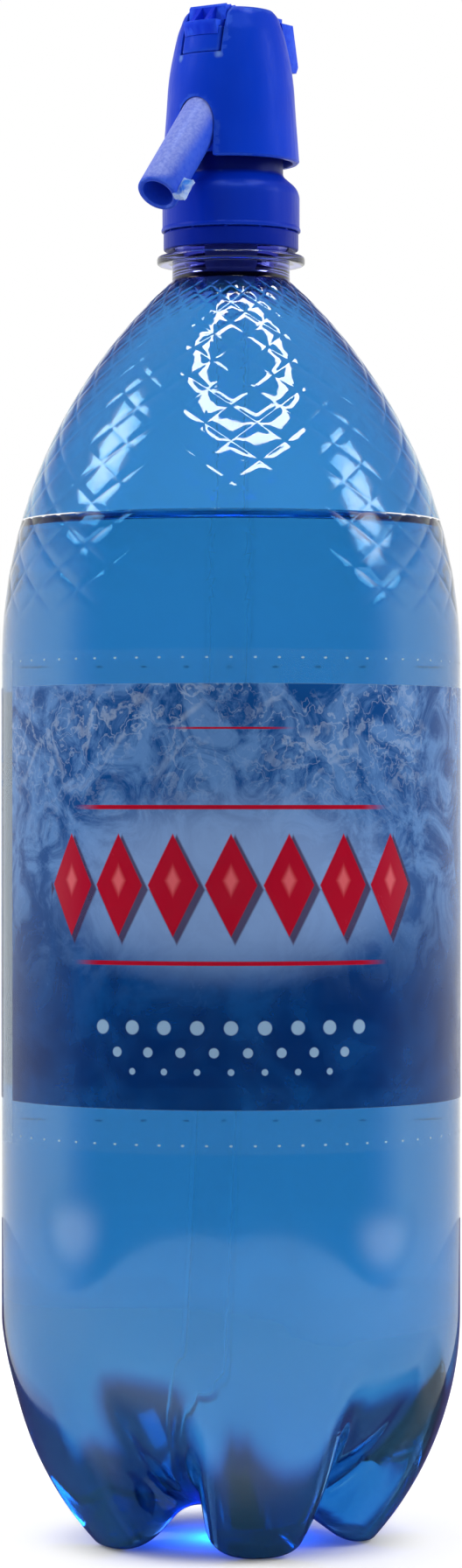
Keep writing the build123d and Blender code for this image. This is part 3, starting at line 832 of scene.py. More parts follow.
@dataclass(frozen=True)
class ClearPet(Finish):
    """Blown, tinted, clear plastic with soft waves and fine scratches."""

    name: str = "clear_blue_pet"
    foot: Color = (0.15, 0.48, 0.86)
    wall: Color = (0.22, 0.545, 0.84)
    neck: Color = (0.19, 0.215, 0.64)
    wall_from: Point = (0.006, 0.050)
    neck_from: Point = (0.283, 0.2875)
    peel_from: Point = (0.215, 0.255)
    ior: float = 1.55

    def make(self) -> Material:
        """Builds the material.

        Returns:
            The material.
        """
        board, shader, material = self.begin()
        height = board.height()
        lower = board.mix(board.ramp(height, *self.wall_from), self.foot, self.wall)
        tint = board.mix(board.ramp(height, *self.neck_from), lower, self.neck)
        scratch = board.group(EFFECTS.scratch, Amount=1.0).outputs["Mask"]
        wave = board.bump(board.noise(18.0, 1.0), 0.2, 0.5)
        peel = board.times(board.noise(420.0, 3.0), board.ramp(height, *self.peel_from, 0.15, 1.0))
        values = {
            "Base Color": board.mix(1.0, tint, board.cloud(16.0, 2.0, 0.94, 1.0), "MULTIPLY"),
            "Roughness": board.ramp(scratch, 0.0, 1.0, 0.045, 0.20),
            "Normal": board.bump(scratch, 0.25, 0.03, board.bump(peel, 0.5, 0.018, wave)),
        }
        self.clear(board, shader, values, self.ior)
        return material


@dataclass(frozen=True)
class ClearWater(Finish):
    """Still carbonated water."""

    name: str = "soda_water"
    tint: Color = (0.44, 0.74, 0.82)
    ior: float = 1.333

    def make(self) -> Material:
        """Builds the material.

        Returns:
            The material.
        """
        board, shader, material = self.begin()
        values = {
            "Base Color": board.mix(1.0, self.tint, board.cloud(9.0, 2.0, 0.96, 1.0), "MULTIPLY"),
            "Roughness": board.ramp(board.noise(30.0, 1.0), 0.4, 0.6, 0.0, 0.012),
            "Normal": board.bump(board.noise(14.0, 1.0), 0.2, 0.4),
        }
        self.clear(board, shader, values, self.ior)
        return material


@dataclass(frozen=True)
class MilkyTube(Finish):
    """Thin translucent tube, whose index is set against the water round it."""

    name: str = "milky_tube"
    tint: Color = (0.995, 1.0, 1.0)
    ior: float = 1.09

    def make(self) -> Material:
        """Builds the material.

        Returns:
            The material.
        """
        board, shader, material = self.begin()
        values = {
            "Base Color": board.mix(1.0, self.tint, board.cloud(120.0, 3.0, 0.98, 1.0), "MULTIPLY"),
            "Roughness": board.cloud(300.0, 2.0, 0.10, 0.18),
            "Normal": board.bump(board.noise(700.0, 2.0), 0.1, 0.02),
        }
        self.clear(board, shader, values, self.ior)
        return material


@dataclass(frozen=True)
class PrintedFilm(Finish):
    """Clear film with a frosty printed band; its motifs are plain rules, dots and lozenges.

    A row of lozenges has its shift, height, half size, softness, colour and amount. A rule has its
    height, half width and reach. A row of dots has its height, half size, reach and shift.
    """

    name: str = "printed_film"
    foot_z: float = 101.0
    top_z: float = 194.0
    radius: float = 52.4
    seam_deg: float = -131.0
    seam_half: float = 5.6
    seam_solid: float = 0.16
    clear_color: Color = (0.50, 0.66, 0.80)
    red: Color = (0.50, 0.003, 0.022)
    pale: Color = (0.40, 0.62, 0.86)
    glow: Color = (0.28, 0.45, 0.80)
    glow_z: float = 150.0
    glow_half: Point = (50.0, 24.0)
    frost_low: Color = (0.006, 0.075, 0.30)
    frost_high: Color = (0.12, 0.28, 0.62)
    ice: Color = (0.62, 0.74, 0.90)
    ice_z: Point = (158.0, 192.0)
    deep_low: Color = (0.0, 0.028, 0.16)
    deep_high: Color = (0.004, 0.075, 0.30)
    deep_z: Point = (122.0, 158.0)
    lozenge_pitch: float = 12.8
    lozenge_reach: float = 45.0
    lozenges: tuple = (
        (-0.9, 149.0, (6.6, 12.6), 0.10, (0.06, 0.02, 0.07), 0.85),
        (0.0, 150.0, (5.9, 11.6), 0.06, (0.50, 0.003, 0.022), 1.0),
        (0.0, 151.0, (2.2, 4.4), 0.7, (0.95, 0.20, 0.22), 0.7),
    )
    rules: tuple = ((167.0, 0.55, 38.0), (133.0, 0.55, 38.0), (184.2, 0.30, 15.0))
    rule_soft: float = 8.0
    dot_pitch: float = 7.4
    dots: tuple = ((119.0, 1.7, 33.0, 0.0), (113.6, 1.2, 29.0, 3.7), (109.4, 0.8, 25.0, 0.0))
    hole_pitch: float = 5.3
    hole_half: Point = (0.45, 0.3)
    hole_rows: Point = (199.6, 93.4)
    hole_solid: float = 0.45
    solid: Point = (0.012, 0.80)

    def _along(self, board: Board, from_deg: float) -> Socket:
        """Gives the distance round the film from a polar angle, in millimetres.

        Args:
            board: Board to build on.
            from_deg: The polar angle.

        Returns:
            The distance.
        """
        node = board.add("VectorRotate", rotation_type="Z_AXIS")
        board.feed(node, {"Vector": board.place(), "Angle": -math.radians(from_deg)})
        x, y = (board.part(node.outputs["Vector"], axis) for axis in "XY")
        return board.times(board.math("ARCTAN2", y, x), self.radius)

    def _shape(
        self, board: Board, along: object, up: object, half: Point, pitch: float, soft: float, power: float
    ) -> Socket:
        """Gives the mask of a row of equal shapes.

        Args:
            board: Board to build on.
            along: Distance round the film from the middle of a shape.
            up: Height above the row's middle.
            half: Half width and half height of one shape.
            pitch: Distance between two middles.
            soft: Softness of the rim, as a share of the size.
            power: 1 for lozenges and 2 for ellipses.

        Returns:
            The mask.
        """
        near = board.math("PINGPONG", along, 0.5 * pitch)
        wide = board.math("POWER", board.math("DIVIDE", near, half[0]), power)
        tall = board.math("POWER", board.math("ABSOLUTE", board.math("DIVIDE", up, half[1])), power)
        return board.ramp(board.plus(wide, tall), 1.0, 1.0 - soft)

    def _within(self, board: Board, value: object, half: float, soft: float = 0.15) -> Socket:
        """Gives the mask of a band round zero."""
        return board.ramp(board.math("ABSOLUTE", value), half, half - soft)

    def _ground(self, board: Board, height: object, frost: object) -> Socket:
        """Gives the frosty ground of the print.

        Args:
            board: Board to build on.
            height: Height in millimetres.
            frost: Noise of the frost.

        Returns:
            Its colour.
        """
        cells = board.noise(34.0, 5.0, rough=0.62, warp=0.7)
        warped = board.mix(0.05, board.place(), board.noise(160.0, 4.0), "ADD")
        crystal = board.add("TexVoronoi", feature="DISTANCE_TO_EDGE")
        lines = board.feed(crystal, {"Vector": warped, "Scale": 95.0}).outputs["Distance"]
        upper = board.mix(board.ramp(frost, 0.39, 0.61), self.frost_low, self.frost_high)
        icy = board.times(board.ramp(lines, 0.10, 0.0), board.ramp(height, *self.ice_z, 0.05, 0.40))
        upper = board.mix(board.times(icy, board.ramp(cells, 0.4, 0.6)), upper, self.ice)
        lower = board.mix(board.ramp(cells, 0.35, 0.65), self.deep_low, self.deep_high)
        return board.mix(board.ramp(height, *self.deep_z), lower, upper)

    def make(self) -> Material:
        """Builds the material.

        Returns:
            The material.
        """
        board, shader, material = self.begin()
        height = board.times(board.height(), 1.0 / MM)
        along = self._along(board, FRONT_DEG)
        seam = self._within(board, self._along(board, self.seam_deg), self.seam_half)
        middle = 0.5 * (self.foot_z + self.top_z)
        band = self._within(board, board.math("SUBTRACT", height, middle), self.top_z - middle)
        inside = board.times(band, board.rest(seam))
        frost = board.noise(75.0, 8.0, rough=0.66, warp=1.4)

        def above(level: float) -> Socket:
            """Gives the height above a level."""
            return board.math("SUBTRACT", height, level)

        def lay(base: object, color: Color, *shares: object) -> Socket:
            """Lays ink over the print."""
            return board.mix(board.times(*shares), base, color)

        wide = math.tau * self.radius
        glow = self._shape(board, along, above(self.glow_z), self.glow_half, wide, 0.95, 2.0)
        ink = lay(self._ground(board, height, frost), self.glow, glow, 0.85)
        row = self._within(board, along, self.lozenge_reach)
        for shift, level, half, soft, color, amount in self.lozenges:
            place = board.plus(along, shift)
            motif = self._shape(board, place, above(level), half, self.lozenge_pitch, soft, 1.0)
            ink = lay(ink, color, motif, row, amount)
        for level, half, reach in self.rules:
            rule = self._within(board, above(level), half)
            ink = lay(ink, self.red, rule, self._within(board, along, reach, self.rule_soft))
        for level, half, reach, shift in self.dots:
            place = board.plus(along, shift)
            spots = self._shape(board, place, above(level), (half, half), self.dot_pitch, 0.35, 2.0)
            ink = lay(ink, self.pale, spots, self._within(board, along, reach), 0.8)
        holes = board.most(
            *(
                self._shape(board, along, above(level), self.hole_half, self.hole_pitch, 0.6, 2.0)
                for level in self.hole_rows
            )
        )
        solid = board.most(
            board.ramp(inside, 0.0, 1.0, *self.solid),
            board.times(holes, self.hole_solid),
            board.times(seam, self.seam_solid),
        )
        board.feed(
            shader,
            {
                "Base Color": board.mix(inside, self.clear_color, ink),
                "Alpha": solid,
                "Roughness": board.ramp(frost, 0.3, 0.7, 0.16, 0.28),
                "Normal": board.bump(board.noise(40.0, 2.0), 0.4, 0.5),
                "Specular IOR Level": 0.3,
                "Specular Tint": (0.45, 0.7, 1.0),
            },
        )
        return material


@dataclass(frozen=True)
class Steel(Finish):
    """Drawn spring wire."""

    name: str = "spring_wire"
    dull: Color = (0.52, 0.53, 0.55)
    bright: Color = (0.66, 0.67, 0.69)

    def make(self) -> Material:
        """Builds the material.

        Returns:
            The material.
        """
        board, shader, material = self.begin()
        grain = board.group(EFFECTS.grain, Scale=2600.0, Streak=0.8).outputs
        values = {
            "Base Color": board.mix(grain["Value"], self.dull, self.bright),
            "Roughness": board.ramp(grain["Value"], 0.0, 1.0, 0.22, 0.36),
            "Normal": board.bump(grain["Height"], 0.3, 0.01),
            "Metallic": 1.0,
        }
        board.feed(shader, values)
        return material


# --------------------------------------------------------------------------- bottle


@dataclass
class Bottle:
    """The blown bottle: lozenge-embossed shoulder, straight wall, five feet and the screw neck."""

    wall: float = 0.5
    wall_steps: int = 5
    body_r: float = 52.3
    base_h: float = 52.0
    shoulder_z: float = 200.0
    shoulder_arc_r: float = 116.5
    shoulder_centre_r: float = -64.2
    shoulder_step: float = 2.5
    base_arc_r: float = 77.0
    base_centre_r: float = -24.7
    pad_r: float = 27.0
    push_r: float = 10.0
    push_h: float = 9.5
    push_rise: float = 0.8
    toe_round: float = 2.0
    dome_round: float = 3.5
    heel_round: float = 6.0
    heel_steps: int = 40
    bowl_r: float = 53.68
    bowl_z: float = 61.68
    valley_root_r: float = 3.0
    valley_half_deg: float = 13.5
    valley_taper_deg: float = 1.0
    first_valley_deg: float = -8.0
    feet: int = 5
    foot_soft: float = 11.0
    root_soft: float = 4.0
    press_from: float = 0.5
    press_steps: int = 60
    least_steps: int = 4
    halvings: int = 10
    columns: int = 22
    rows: int = 11
    first_row: float = 0.461
    row_rate: float = 0.06775
    row_curve: float = 0.006642
    row_limit: float = 0.999
    foot_band: float = 10.0
    groove_half: float = 0.26
    groove_slope: float = 0.40
    groove_depth: float = 0.075
    dome: float = 0.03
    fade_in: Point = (205.0, 12.0)
    fade_out: Point = (286.6, 1.5)
    neck_boost: float = 1.8
    boost: Point = (279.0, 6.0)
    side_cuts: int = 3
    outer_step: float = 1.5
    inner_step: float = 3.0
    weld: float = 0.12
    neck_step: float = 1.2
    neck_rows: tuple = (
        (13.45, 287.8, 0.6),
        (13.45, 290.6, 0.25),
        (16.9, 290.6, 0.5),
        (16.9, 292.5, 0.6),
        (13.2, 292.5, 0.3),
        (12.6, 296.2, 0.3),
        (13.72, 296.4, 0.25),
        (13.72, 297.6, 0.3),
        (12.5, 298.2, 0.3),
        (12.5, 306.9, 0.5),
        (10.87, 306.9, 0.4),
        (10.87, 288.4, 1.6),
    )
    thread: tuple = ((12.3, 298.7), (13.6, 299.6), (13.6, 300.3), (12.3, 301.1))
    thread_pitch: float = 2.7
    thread_turns: float = 1.5

    def arc_at(self, row: float) -> float:
        """Gives the arc length from the shoulder's foot at a row of the pattern."""
        return math.tanh((row + self.first_row) * self.row_rate) / self.row_curve

    def row_at(self, arc: float) -> float:
        """Gives the row of the pattern at an arc length from the shoulder's foot."""
        return math.atanh(min(self.row_limit, arc * self.row_curve)) / self.row_rate - self.first_row

    def on_shoulder(self, arc: float, out: float = 0.0) -> Point:
        """Gives radius and height at an arc length from the shoulder's foot, and out of the surface."""
        turn, reach = arc / self.shoulder_arc_r, self.shoulder_arc_r + out
        return self.shoulder_centre_r + reach * math.cos(turn), self.shoulder_z + reach * math.sin(turn)

    @property
    def start_deg(self) -> float:
        """Polar angle of the pattern's first column, which puts a lozenge at the front."""
        return FRONT_DEG - 0.5 * 360.0 / self.columns

    def relief(self, turn_deg: float, arc: float) -> float:
        """Gives the relief of the lozenge pattern.

        Args:
            turn_deg: Polar angle.
            arc: Arc length from the shoulder's foot.

        Returns:
            Distance out of the surface.
        """
        radius, height = self.on_shoulder(arc)
        column = (turn_deg - self.start_deg) / 360.0 * self.columns
        row = self.row_at(arc)
        pitch_x = math.tau * radius / self.columns
        pitch_y = self.row_rate / self.row_curve * (1.0 - (arc * self.row_curve) ** 2)
        gaps = [abs(line - round(line)) for line in (column - row, column + row)]
        gap = min(gaps) / math.hypot(1.0 / pitch_x, 1.0 / pitch_y)
        sunk = 1.0 - smoothstep((gap - self.groove_half) / self.groove_slope)
        crown = (1.0 - (1.0 - 2.0 * gaps[0]) ** 2) * (1.0 - (1.0 - 2.0 * gaps[1]) ** 2)
        fade = smoothstep((height - self.fade_in[0]) / self.fade_in[1])
        fade *= smoothstep((self.fade_out[0] - height) / self.fade_out[1])
        fade *= 1.0 + self.neck_boost * smoothstep((height - self.boost[0]) / self.boost[1])
        return fade * (self.dome * crown - self.groove_depth * sunk)

    def pattern(self, out: float) -> Form:
        """Builds the embossed shoulder.

        Args:
            out: Distance out of the bottle's surface.

        Returns:
            An open form from the shoulder's foot to the neck.
        """
        form = Form()
        bm = form.bm
        bmesh.ops.create_grid(bm, x_segments=self.columns, y_segments=self.rows, size=0.5)
        squares = bm.edges[:]
        bmesh.ops.poke(bm, faces=bm.faces[:])

        def wrap(co: Vector) -> Vector:
            """Wraps the flat grid round the shoulder.

            Args:
                co: A point of the grid.

            Returns:
                Its place on the shoulder.
            """
            turn = math.radians(self.start_deg) + math.tau * (co.x + 0.5)
            radius, height = self.on_shoulder(self.arc_at((co.y + 0.5) * self.rows))
            return Vector((radius * math.cos(turn), radius * math.sin(turn), height))

        form.each(wrap)
        bmesh.ops.remove_doubles(bm, verts=form.verts, dist=MERGE_MM)
        inner = [edge for edge in squares if edge.is_valid and len(edge.link_faces) == 2]
        bmesh.ops.dissolve_edges(bm, edges=inner, use_verts=False)
        diagonals: set[BMEdge] = set()
        rims: set[BMFace] = set()
        for width in (self.groove_half, self.groove_slope):
            known = set(bm.verts)
            middles = [face for face in bm.faces if face not in rims]
            bmesh.ops.inset_individual(
                bm, faces=middles, thickness=width, depth=0.0, use_even_offset=True
            )
            diagonals |= {e for e in bm.edges if (e.verts[0] in known) != (e.verts[1] in known)}
            rims |= {face for face in bm.faces if any(e in diagonals for e in face.edges)}
        sides = [edge for edge in bm.edges if edge not in diagonals]
        bmesh.ops.subdivide_edges(bm, edges=sides, cuts=self.side_cuts, use_grid_fill=True)
        low = self.shoulder_z + self.foot_band
        feet = [edge for edge in bm.edges if edge.is_boundary and edge.verts[0].co.z < low]
        bmesh.ops.subdivide_edges(bm, edges=feet, cuts=STEPS_FINE // len(feet) - 1)
        form.each(lambda co: self._emboss(co, out))
        return form

    def _emboss(self, co: Vector, out: float) -> Vector:
        """Gives the place of a point on the embossed surface, or at a distance out of it.

        Args:
            co: The point.
            out: The distance.

        Returns:
            Its place.
        """
        turn = math.atan2(co.y, co.x)
        rise = min(1.0, max(0.0, (co.z - self.shoulder_z) / self.shoulder_arc_r))
        arc = math.asin(rise) * self.shoulder_arc_r
        radius, height = self.on_shoulder(arc, out + self.relief(math.degrees(turn), arc))
        return Vector((radius * math.cos(turn), radius * math.sin(turn), height))

    def lower(self, steps: int, step_mm: float, top: Callable[[Form], BMVert]) -> Form:
        """Builds the wall and the footed base.

        Args:
            steps: Segments round the turn.
            step_mm: Longest step along the outline.
            top: Draws the outline above the shoulder's foot and gives its last vertex.

        Returns:
            The form, with its feet pressed in.
        """
        form = Form()
        last = top(form)
        drop = (self.base_h - self.shoulder_z) / self.wall_steps
        for step in range(1, self.wall_steps + 1):
            last = form.run(last, self.body_r, self.shoulder_z + drop * step)
        foot_deg = -math.degrees(math.asin(self.base_h / self.base_arc_r))
        heel = form.sweep(last, (self.base_centre_r, self.base_h), foot_deg, self.heel_steps)
        toe = form.run(heel, self.pad_r, 0.0)
        dome = form.run(toe, self.push_r, self.push_h)
        form.run(dome, 0.0, self.push_h + self.push_rise)
        form.ease([(toe, self.toe_round), (dome, self.dome_round)], segments=5)
        form.ease([(heel, self.heel_round)], segments=8)
        form.divide(step_mm, self.base_h)
        form.turn(steps, self.start_deg)
        form.each(self._press_valley)
        return form

    def _press_valley(self, co: Vector) -> Vector:
        """Moves a point of the base in to where the feet, valleys and bowl meet in soft fillets.

        Args:
            co: The point.

        Returns:
            Its place.
        """
        drop = self.base_h - co.z
        if drop <= self.press_from:
            return co
        reach = math.hypot(math.hypot(co.x, co.y), drop)
        way = Vector((co.x, co.y, -drop)) / reach
        pitch = 360.0 / self.feet
        off = (math.degrees(math.atan2(co.y, co.x)) - self.first_valley_deg + 0.5 * pitch) % pitch
        lean = abs(math.sin(math.radians(off - 0.5 * pitch)))
        flat = math.hypot(way.x, way.y)

        def outside(length: float) -> float:
            """Gives how far a point on the ray is out of the base.

            Args:
                length: Distance of the point along the ray.

            Returns:
                The distance, negative inside.
            """
            radius, height = flat * length, self.base_h + way.z * length
            half = (radius - self.valley_root_r) * math.tan(math.radians(self.valley_half_deg))
            half -= height * math.tan(math.radians(self.valley_taper_deg))
            foot = soft_max(length - reach, half - radius * lean, self.foot_soft)
            bowl = math.hypot(radius, self.bowl_z - height) - self.bowl_r
            return -soft_max(-foot, -bowl, self.root_soft)

        far, step = reach, reach / self.press_steps
        if outside(far) <= 0.0:
            return co
        while outside(far - step) > 0.0 and far > self.least_steps * step:
            far -= step
        near = far - step
        for _ in range(self.halvings):
            middle = 0.5 * (near + far)
            near, far = (near, middle) if outside(middle) > 0.0 else (middle, far)
        return Vector((0.0, 0.0, self.base_h)) + way * far

    def shoulder_top(self, form: Form, arc: float, first: BMVert | None = None) -> BMVert:
        """Draws the shoulder's outline down to its foot.

        Args:
            form: Form to draw in.
            arc: Arc length where it starts.
            first: Vertex to start from, if there is one there already.

        Returns:
            The vertex at the shoulder's foot.
        """
        last = first or form.start(*self.on_shoulder(arc))
        turn = math.degrees(arc / self.shoulder_arc_r)
        steps = max(2, round(arc / self.shoulder_step))
        return form.sweep(last, (self.shoulder_centre_r, self.shoulder_z), -turn, steps)

    def build(self) -> None:
        """Builds the bottle as one closed piece."""
        form, inside = (
            self.lower(STEPS_FINE, step, lambda wall: self.shoulder_top(wall, self.arc_at(0.0)))
            for step in (self.outer_step, self.inner_step)
        )
        inside.swell(-self.wall)
        form.add(inside)
        form.add(self.pattern(0.0))
        form.add(self.pattern(-self.wall))
        foot, bore = (self.on_shoulder(self.arc_at(self.rows), out) for out in (0.0, -self.wall))
        rows = (foot, *self.neck_rows, bore)
        form.add(Form.lathe(rows, STEPS_NECK, self.start_deg, self.neck_step, closed=False))
        form.weld_borders(self.weld)
        thread = Form()
        thread.ridge(self.thread, self.thread_pitch, self.thread_turns)
        form.add(thread)
        form.piece("clear_bottle", Body.SIPHON, Slot.PET, ClearPet().make(), ["bottle"], sharp_deg=60.0)


@dataclass
class Contents:
    """The water, which reaches a little into the wall so that no air film shows."""

    bottle: Bottle
    level: float = 230.0
    into_wall: float = 0.12
    meniscus: float = 2.2
    rim_gap: float = 0.1
    curl_deg: float = 84.0
    step: float = 2.6

    def build(self) -> None:
        """Builds the water as one closed piece."""
        shell = self.bottle
        inset = shell.wall - self.into_wall

        def top(form: Form) -> BMVert:
            """Draws the water's surface and the shoulder down to its foot.

            Args:
                form: Form to draw in.

            Returns:
                The vertex at the shoulder's foot.
            """
            rise = (self.level + self.meniscus + inset - shell.shoulder_z) / shell.shoulder_arc_r
            arc = math.asin(rise) * shell.shoulder_arc_r
            radius, height = shell.on_shoulder(arc)
            last = form.start(0.0, self.level + inset)
            centre = radius - self.meniscus - self.rim_gap
            last = form.run(last, centre, self.level + inset)
            last = form.sweep(last, (centre, height), self.curl_deg, 8)
            last = form.run(last, radius, height)
            return shell.shoulder_top(form, arc, last)

        form = shell.lower(STEPS_NECK, self.step, top)
        form.swell(-inset)
        water = ClearWater().make()
        form.piece("still_water", Body.SIPHON, Slot.WATER, water, ["soda_water"], sharp_deg=35.0)


@dataclass
class LabelFilm:
    """The clear printed film round the straight wall, doubled at its seam."""

    start_deg: float
    foot: float = 91.5
    top: float = 201.5
    inner_r: float = 52.33
    outer_r: float = 52.39
    seam_r: float = 52.43
    seam_deg: float = -131.0
    seam_w: float = 11.0
    step: float = 6.0

    def build(self) -> None:
        """Builds the film as one closed piece."""
        inner, outer = self.inner_r, self.outer_r
        rows = ((inner, self.foot), (outer, self.foot), (outer, self.top), (inner, self.top))
        form = Form.lathe(rows, STEPS_FINE, self.start_deg, self.step)
        half = math.degrees(0.5 * self.seam_w / outer)
        for vert in form.bm.verts:
            off = (math.degrees(math.atan2(vert.co.y, vert.co.x)) - self.seam_deg + 180.0) % 360.0 - 180.0
            radius = math.hypot(vert.co.x, vert.co.y)
            if abs(off) < half and radius > 0.5 * (inner + outer):
                vert.co.x *= self.seam_r / radius
                vert.co.y *= self.seam_r / radius
        form.piece("label_film", Body.SIPHON, Slot.FILM, PrintedFilm().make(), ["label_wrap"])


# --------------------------------------------------------------------------- head


@dataclass
class Shell:
    """The tapered shell over the valve, and the strip between its slits that carries the lever."""

    outline: tuple[Point, ...] = (
        (15.6, 313.8),
        (14.7, 326.0),
        (14.3, 333.0),
        (12.3, 343.0),
        (11.2, 346.6),
        (9.6, 348.3),
    )
    wall: float = 1.4
    wall_slack: float = 0.1
    row: float = 0.9
    blend: float = 3.4
    blend_shares: tuple[float, ...] = (-1.0, -0.6, -0.2, 0.2, 0.6, 1.0)
    edge: float = 0.32
    slit_x: float = 5.25
    slit_y: float = -12.6
    slit_foot: float = 336.9
    root_z: float = 337.8
    root_drop: float = 0.10
    color: Color = (0.0, 0.036, 0.57)
    drift: Color = (0.0, 0.042, 0.62)
    pale: Color = (0.03, 0.11, 0.70)

    def kink(self, height: float) -> float:
        """Gives the radius of the outline's straight runs.

        Args:
            height: Where.

        Returns:
            The radius.
        """
        for (low_r, low_z), (high_r, high_z) in zip(self.outline, self.outline[1:]):
            if height <= high_z:
                share = max(0.0, (height - low_z) / (high_z - low_z))
                return low_r + share * (high_r - low_r)
        return self.outline[-1][0]

    def eased(self, height: float) -> float:
        """Gives the radius with the outline's corners rounded."""
        reach = max(0.0, min(self.blend, height - self.outline[0][1], self.outline[-1][1] - height))
        return sum(self.kink(height + reach * share) for share in self.blend_shares) / len(self.blend_shares)

    def smooth(self, co: Vector) -> Vector:
        """Moves a point of the wall from the straight runs to the rounded outline.

        Args:
            co: The point.

        Returns:
            Its place.
        """
        radius, kink = math.hypot(co.x, co.y), self.kink(co.z)
        if radius < kink - self.wall - self.wall_slack:
            return co
        scale = 1.0 + (self.eased(co.z) - kink) / radius
        return Vector((co.x * scale, co.y * scale, co.z))

    def build(self) -> None:
        """Builds the shell and its strip, pale under the ends of the slits."""
        marks = tuple((side * self.slit_x, self.slit_y, self.slit_foot) for side in (-1.0, 1.0))
        finish = Moulded("head_blue", self.color, self.drift, self.pale, specular=0.30, marks=marks)
        material = finish.make()
        for node, body in (("head_shell", Body.SIPHON), ("hinge_tongue", Body.LEVER)):
            form = Form.node(node)
            form.break_edges(self.edge)
            form.cut_rows(self.row)
            form.each(self.smooth)
            for vert in form.bm.verts if body is Body.LEVER else ():
                if vert.co.z < self.root_z + self.edge:
                    vert.co.z -= self.root_drop
            form.piece(node + "_dressed", body, Slot.HEAD, material, [node])


@dataclass
class Collar:
    """The screw collar and the tamper band under it."""

    collar: tuple = (
        (14.0, 298.1, 0.15),
        (15.9, 298.1, 0.25),
        (15.9, 298.8, 0.25),
        (15.68, 299.1, 0.2),
        (15.68, 307.5, 1.7),
        (11.9, 310.8, 0.7),
        (11.9, 315.0, 0.3),
        (8.42, 315.0, 0.2),
        (8.42, 308.72),
        (12.22, 308.72),
        (12.22, 307.7),
        (14.0, 305.92),
    )
    band: tuple = (
        (13.25, 294.55, 0.1),
        (14.2, 293.9, 0.15),
        (15.4, 293.9, 0.35),
        (15.4, 297.6, 0.2),
        (15.15, 297.98, 0.1),
        (14.2, 297.98, 0.1),
        (14.2, 296.5),
        (13.25, 295.2, 0.1),
    )
    thread: tuple = ((14.2, 300.5), (12.9, 300.95), (12.9, 301.55), (14.2, 302.0))
    # Heights above which the collar is painted with the dark of the gap under the shell: painted shade.
    shaded: Point = (309.9, 311.4)
    pitch: float = 2.7
    turns: float = 1.5
    bridges: int = 12
    bridge: Color = (0.6, 0.8, 0.6)
    bridge_edge: float = 0.1
    bridge_r: float = 15.0
    bridge_z: float = 298.0
    color: Color = (0.0, 0.020, 0.42)
    drift: Color = (0.0, 0.026, 0.47)
    pale: Color = (0.02, 0.08, 0.60)
    deep: Color = (0.0, 0.010, 0.28)
    deep_drift: Color = (0.0, 0.014, 0.32)

    def build(self) -> None:
        """Builds both pieces."""
        form, thread = Form.lathe(self.collar), Form()
        thread.ridge(self.thread, self.pitch, self.turns)
        form.add(thread)
        colors = (self.color, self.drift, self.pale)
        # Painted shade on the chimney in the gap under the shell.
        finish = Moulded("collar_blue", *colors, specular=0.35, painted_shade_z=self.shaded).make()
        form.piece("collar_ring", Body.SIPHON, Slot.HEAD, finish, ["screw_collar"], outward=False)
        form = Form.lathe(self.band)
        for step in range(self.bridges):
            link = Form()
            bmesh.ops.create_cube(link.bm, size=1.0)
            bmesh.ops.scale(link.bm, vec=self.bridge, verts=link.verts)
            link.break_edges(self.bridge_edge)
            bmesh.ops.translate(link.bm, vec=(self.bridge_r, 0.0, self.bridge_z), verts=link.verts)
            spin = Matrix.Rotation(math.tau * step / self.bridges, 3, "Z")
            bmesh.ops.rotate(link.bm, matrix=spin, verts=link.verts)
            form.add(link)
        finish = Moulded("band_blue", self.deep, self.deep_drift, self.color, specular=0.3).make()
        form.piece("band_ring", Body.SIPHON, Slot.HEAD, finish, ["tamper_band"], outward=False)


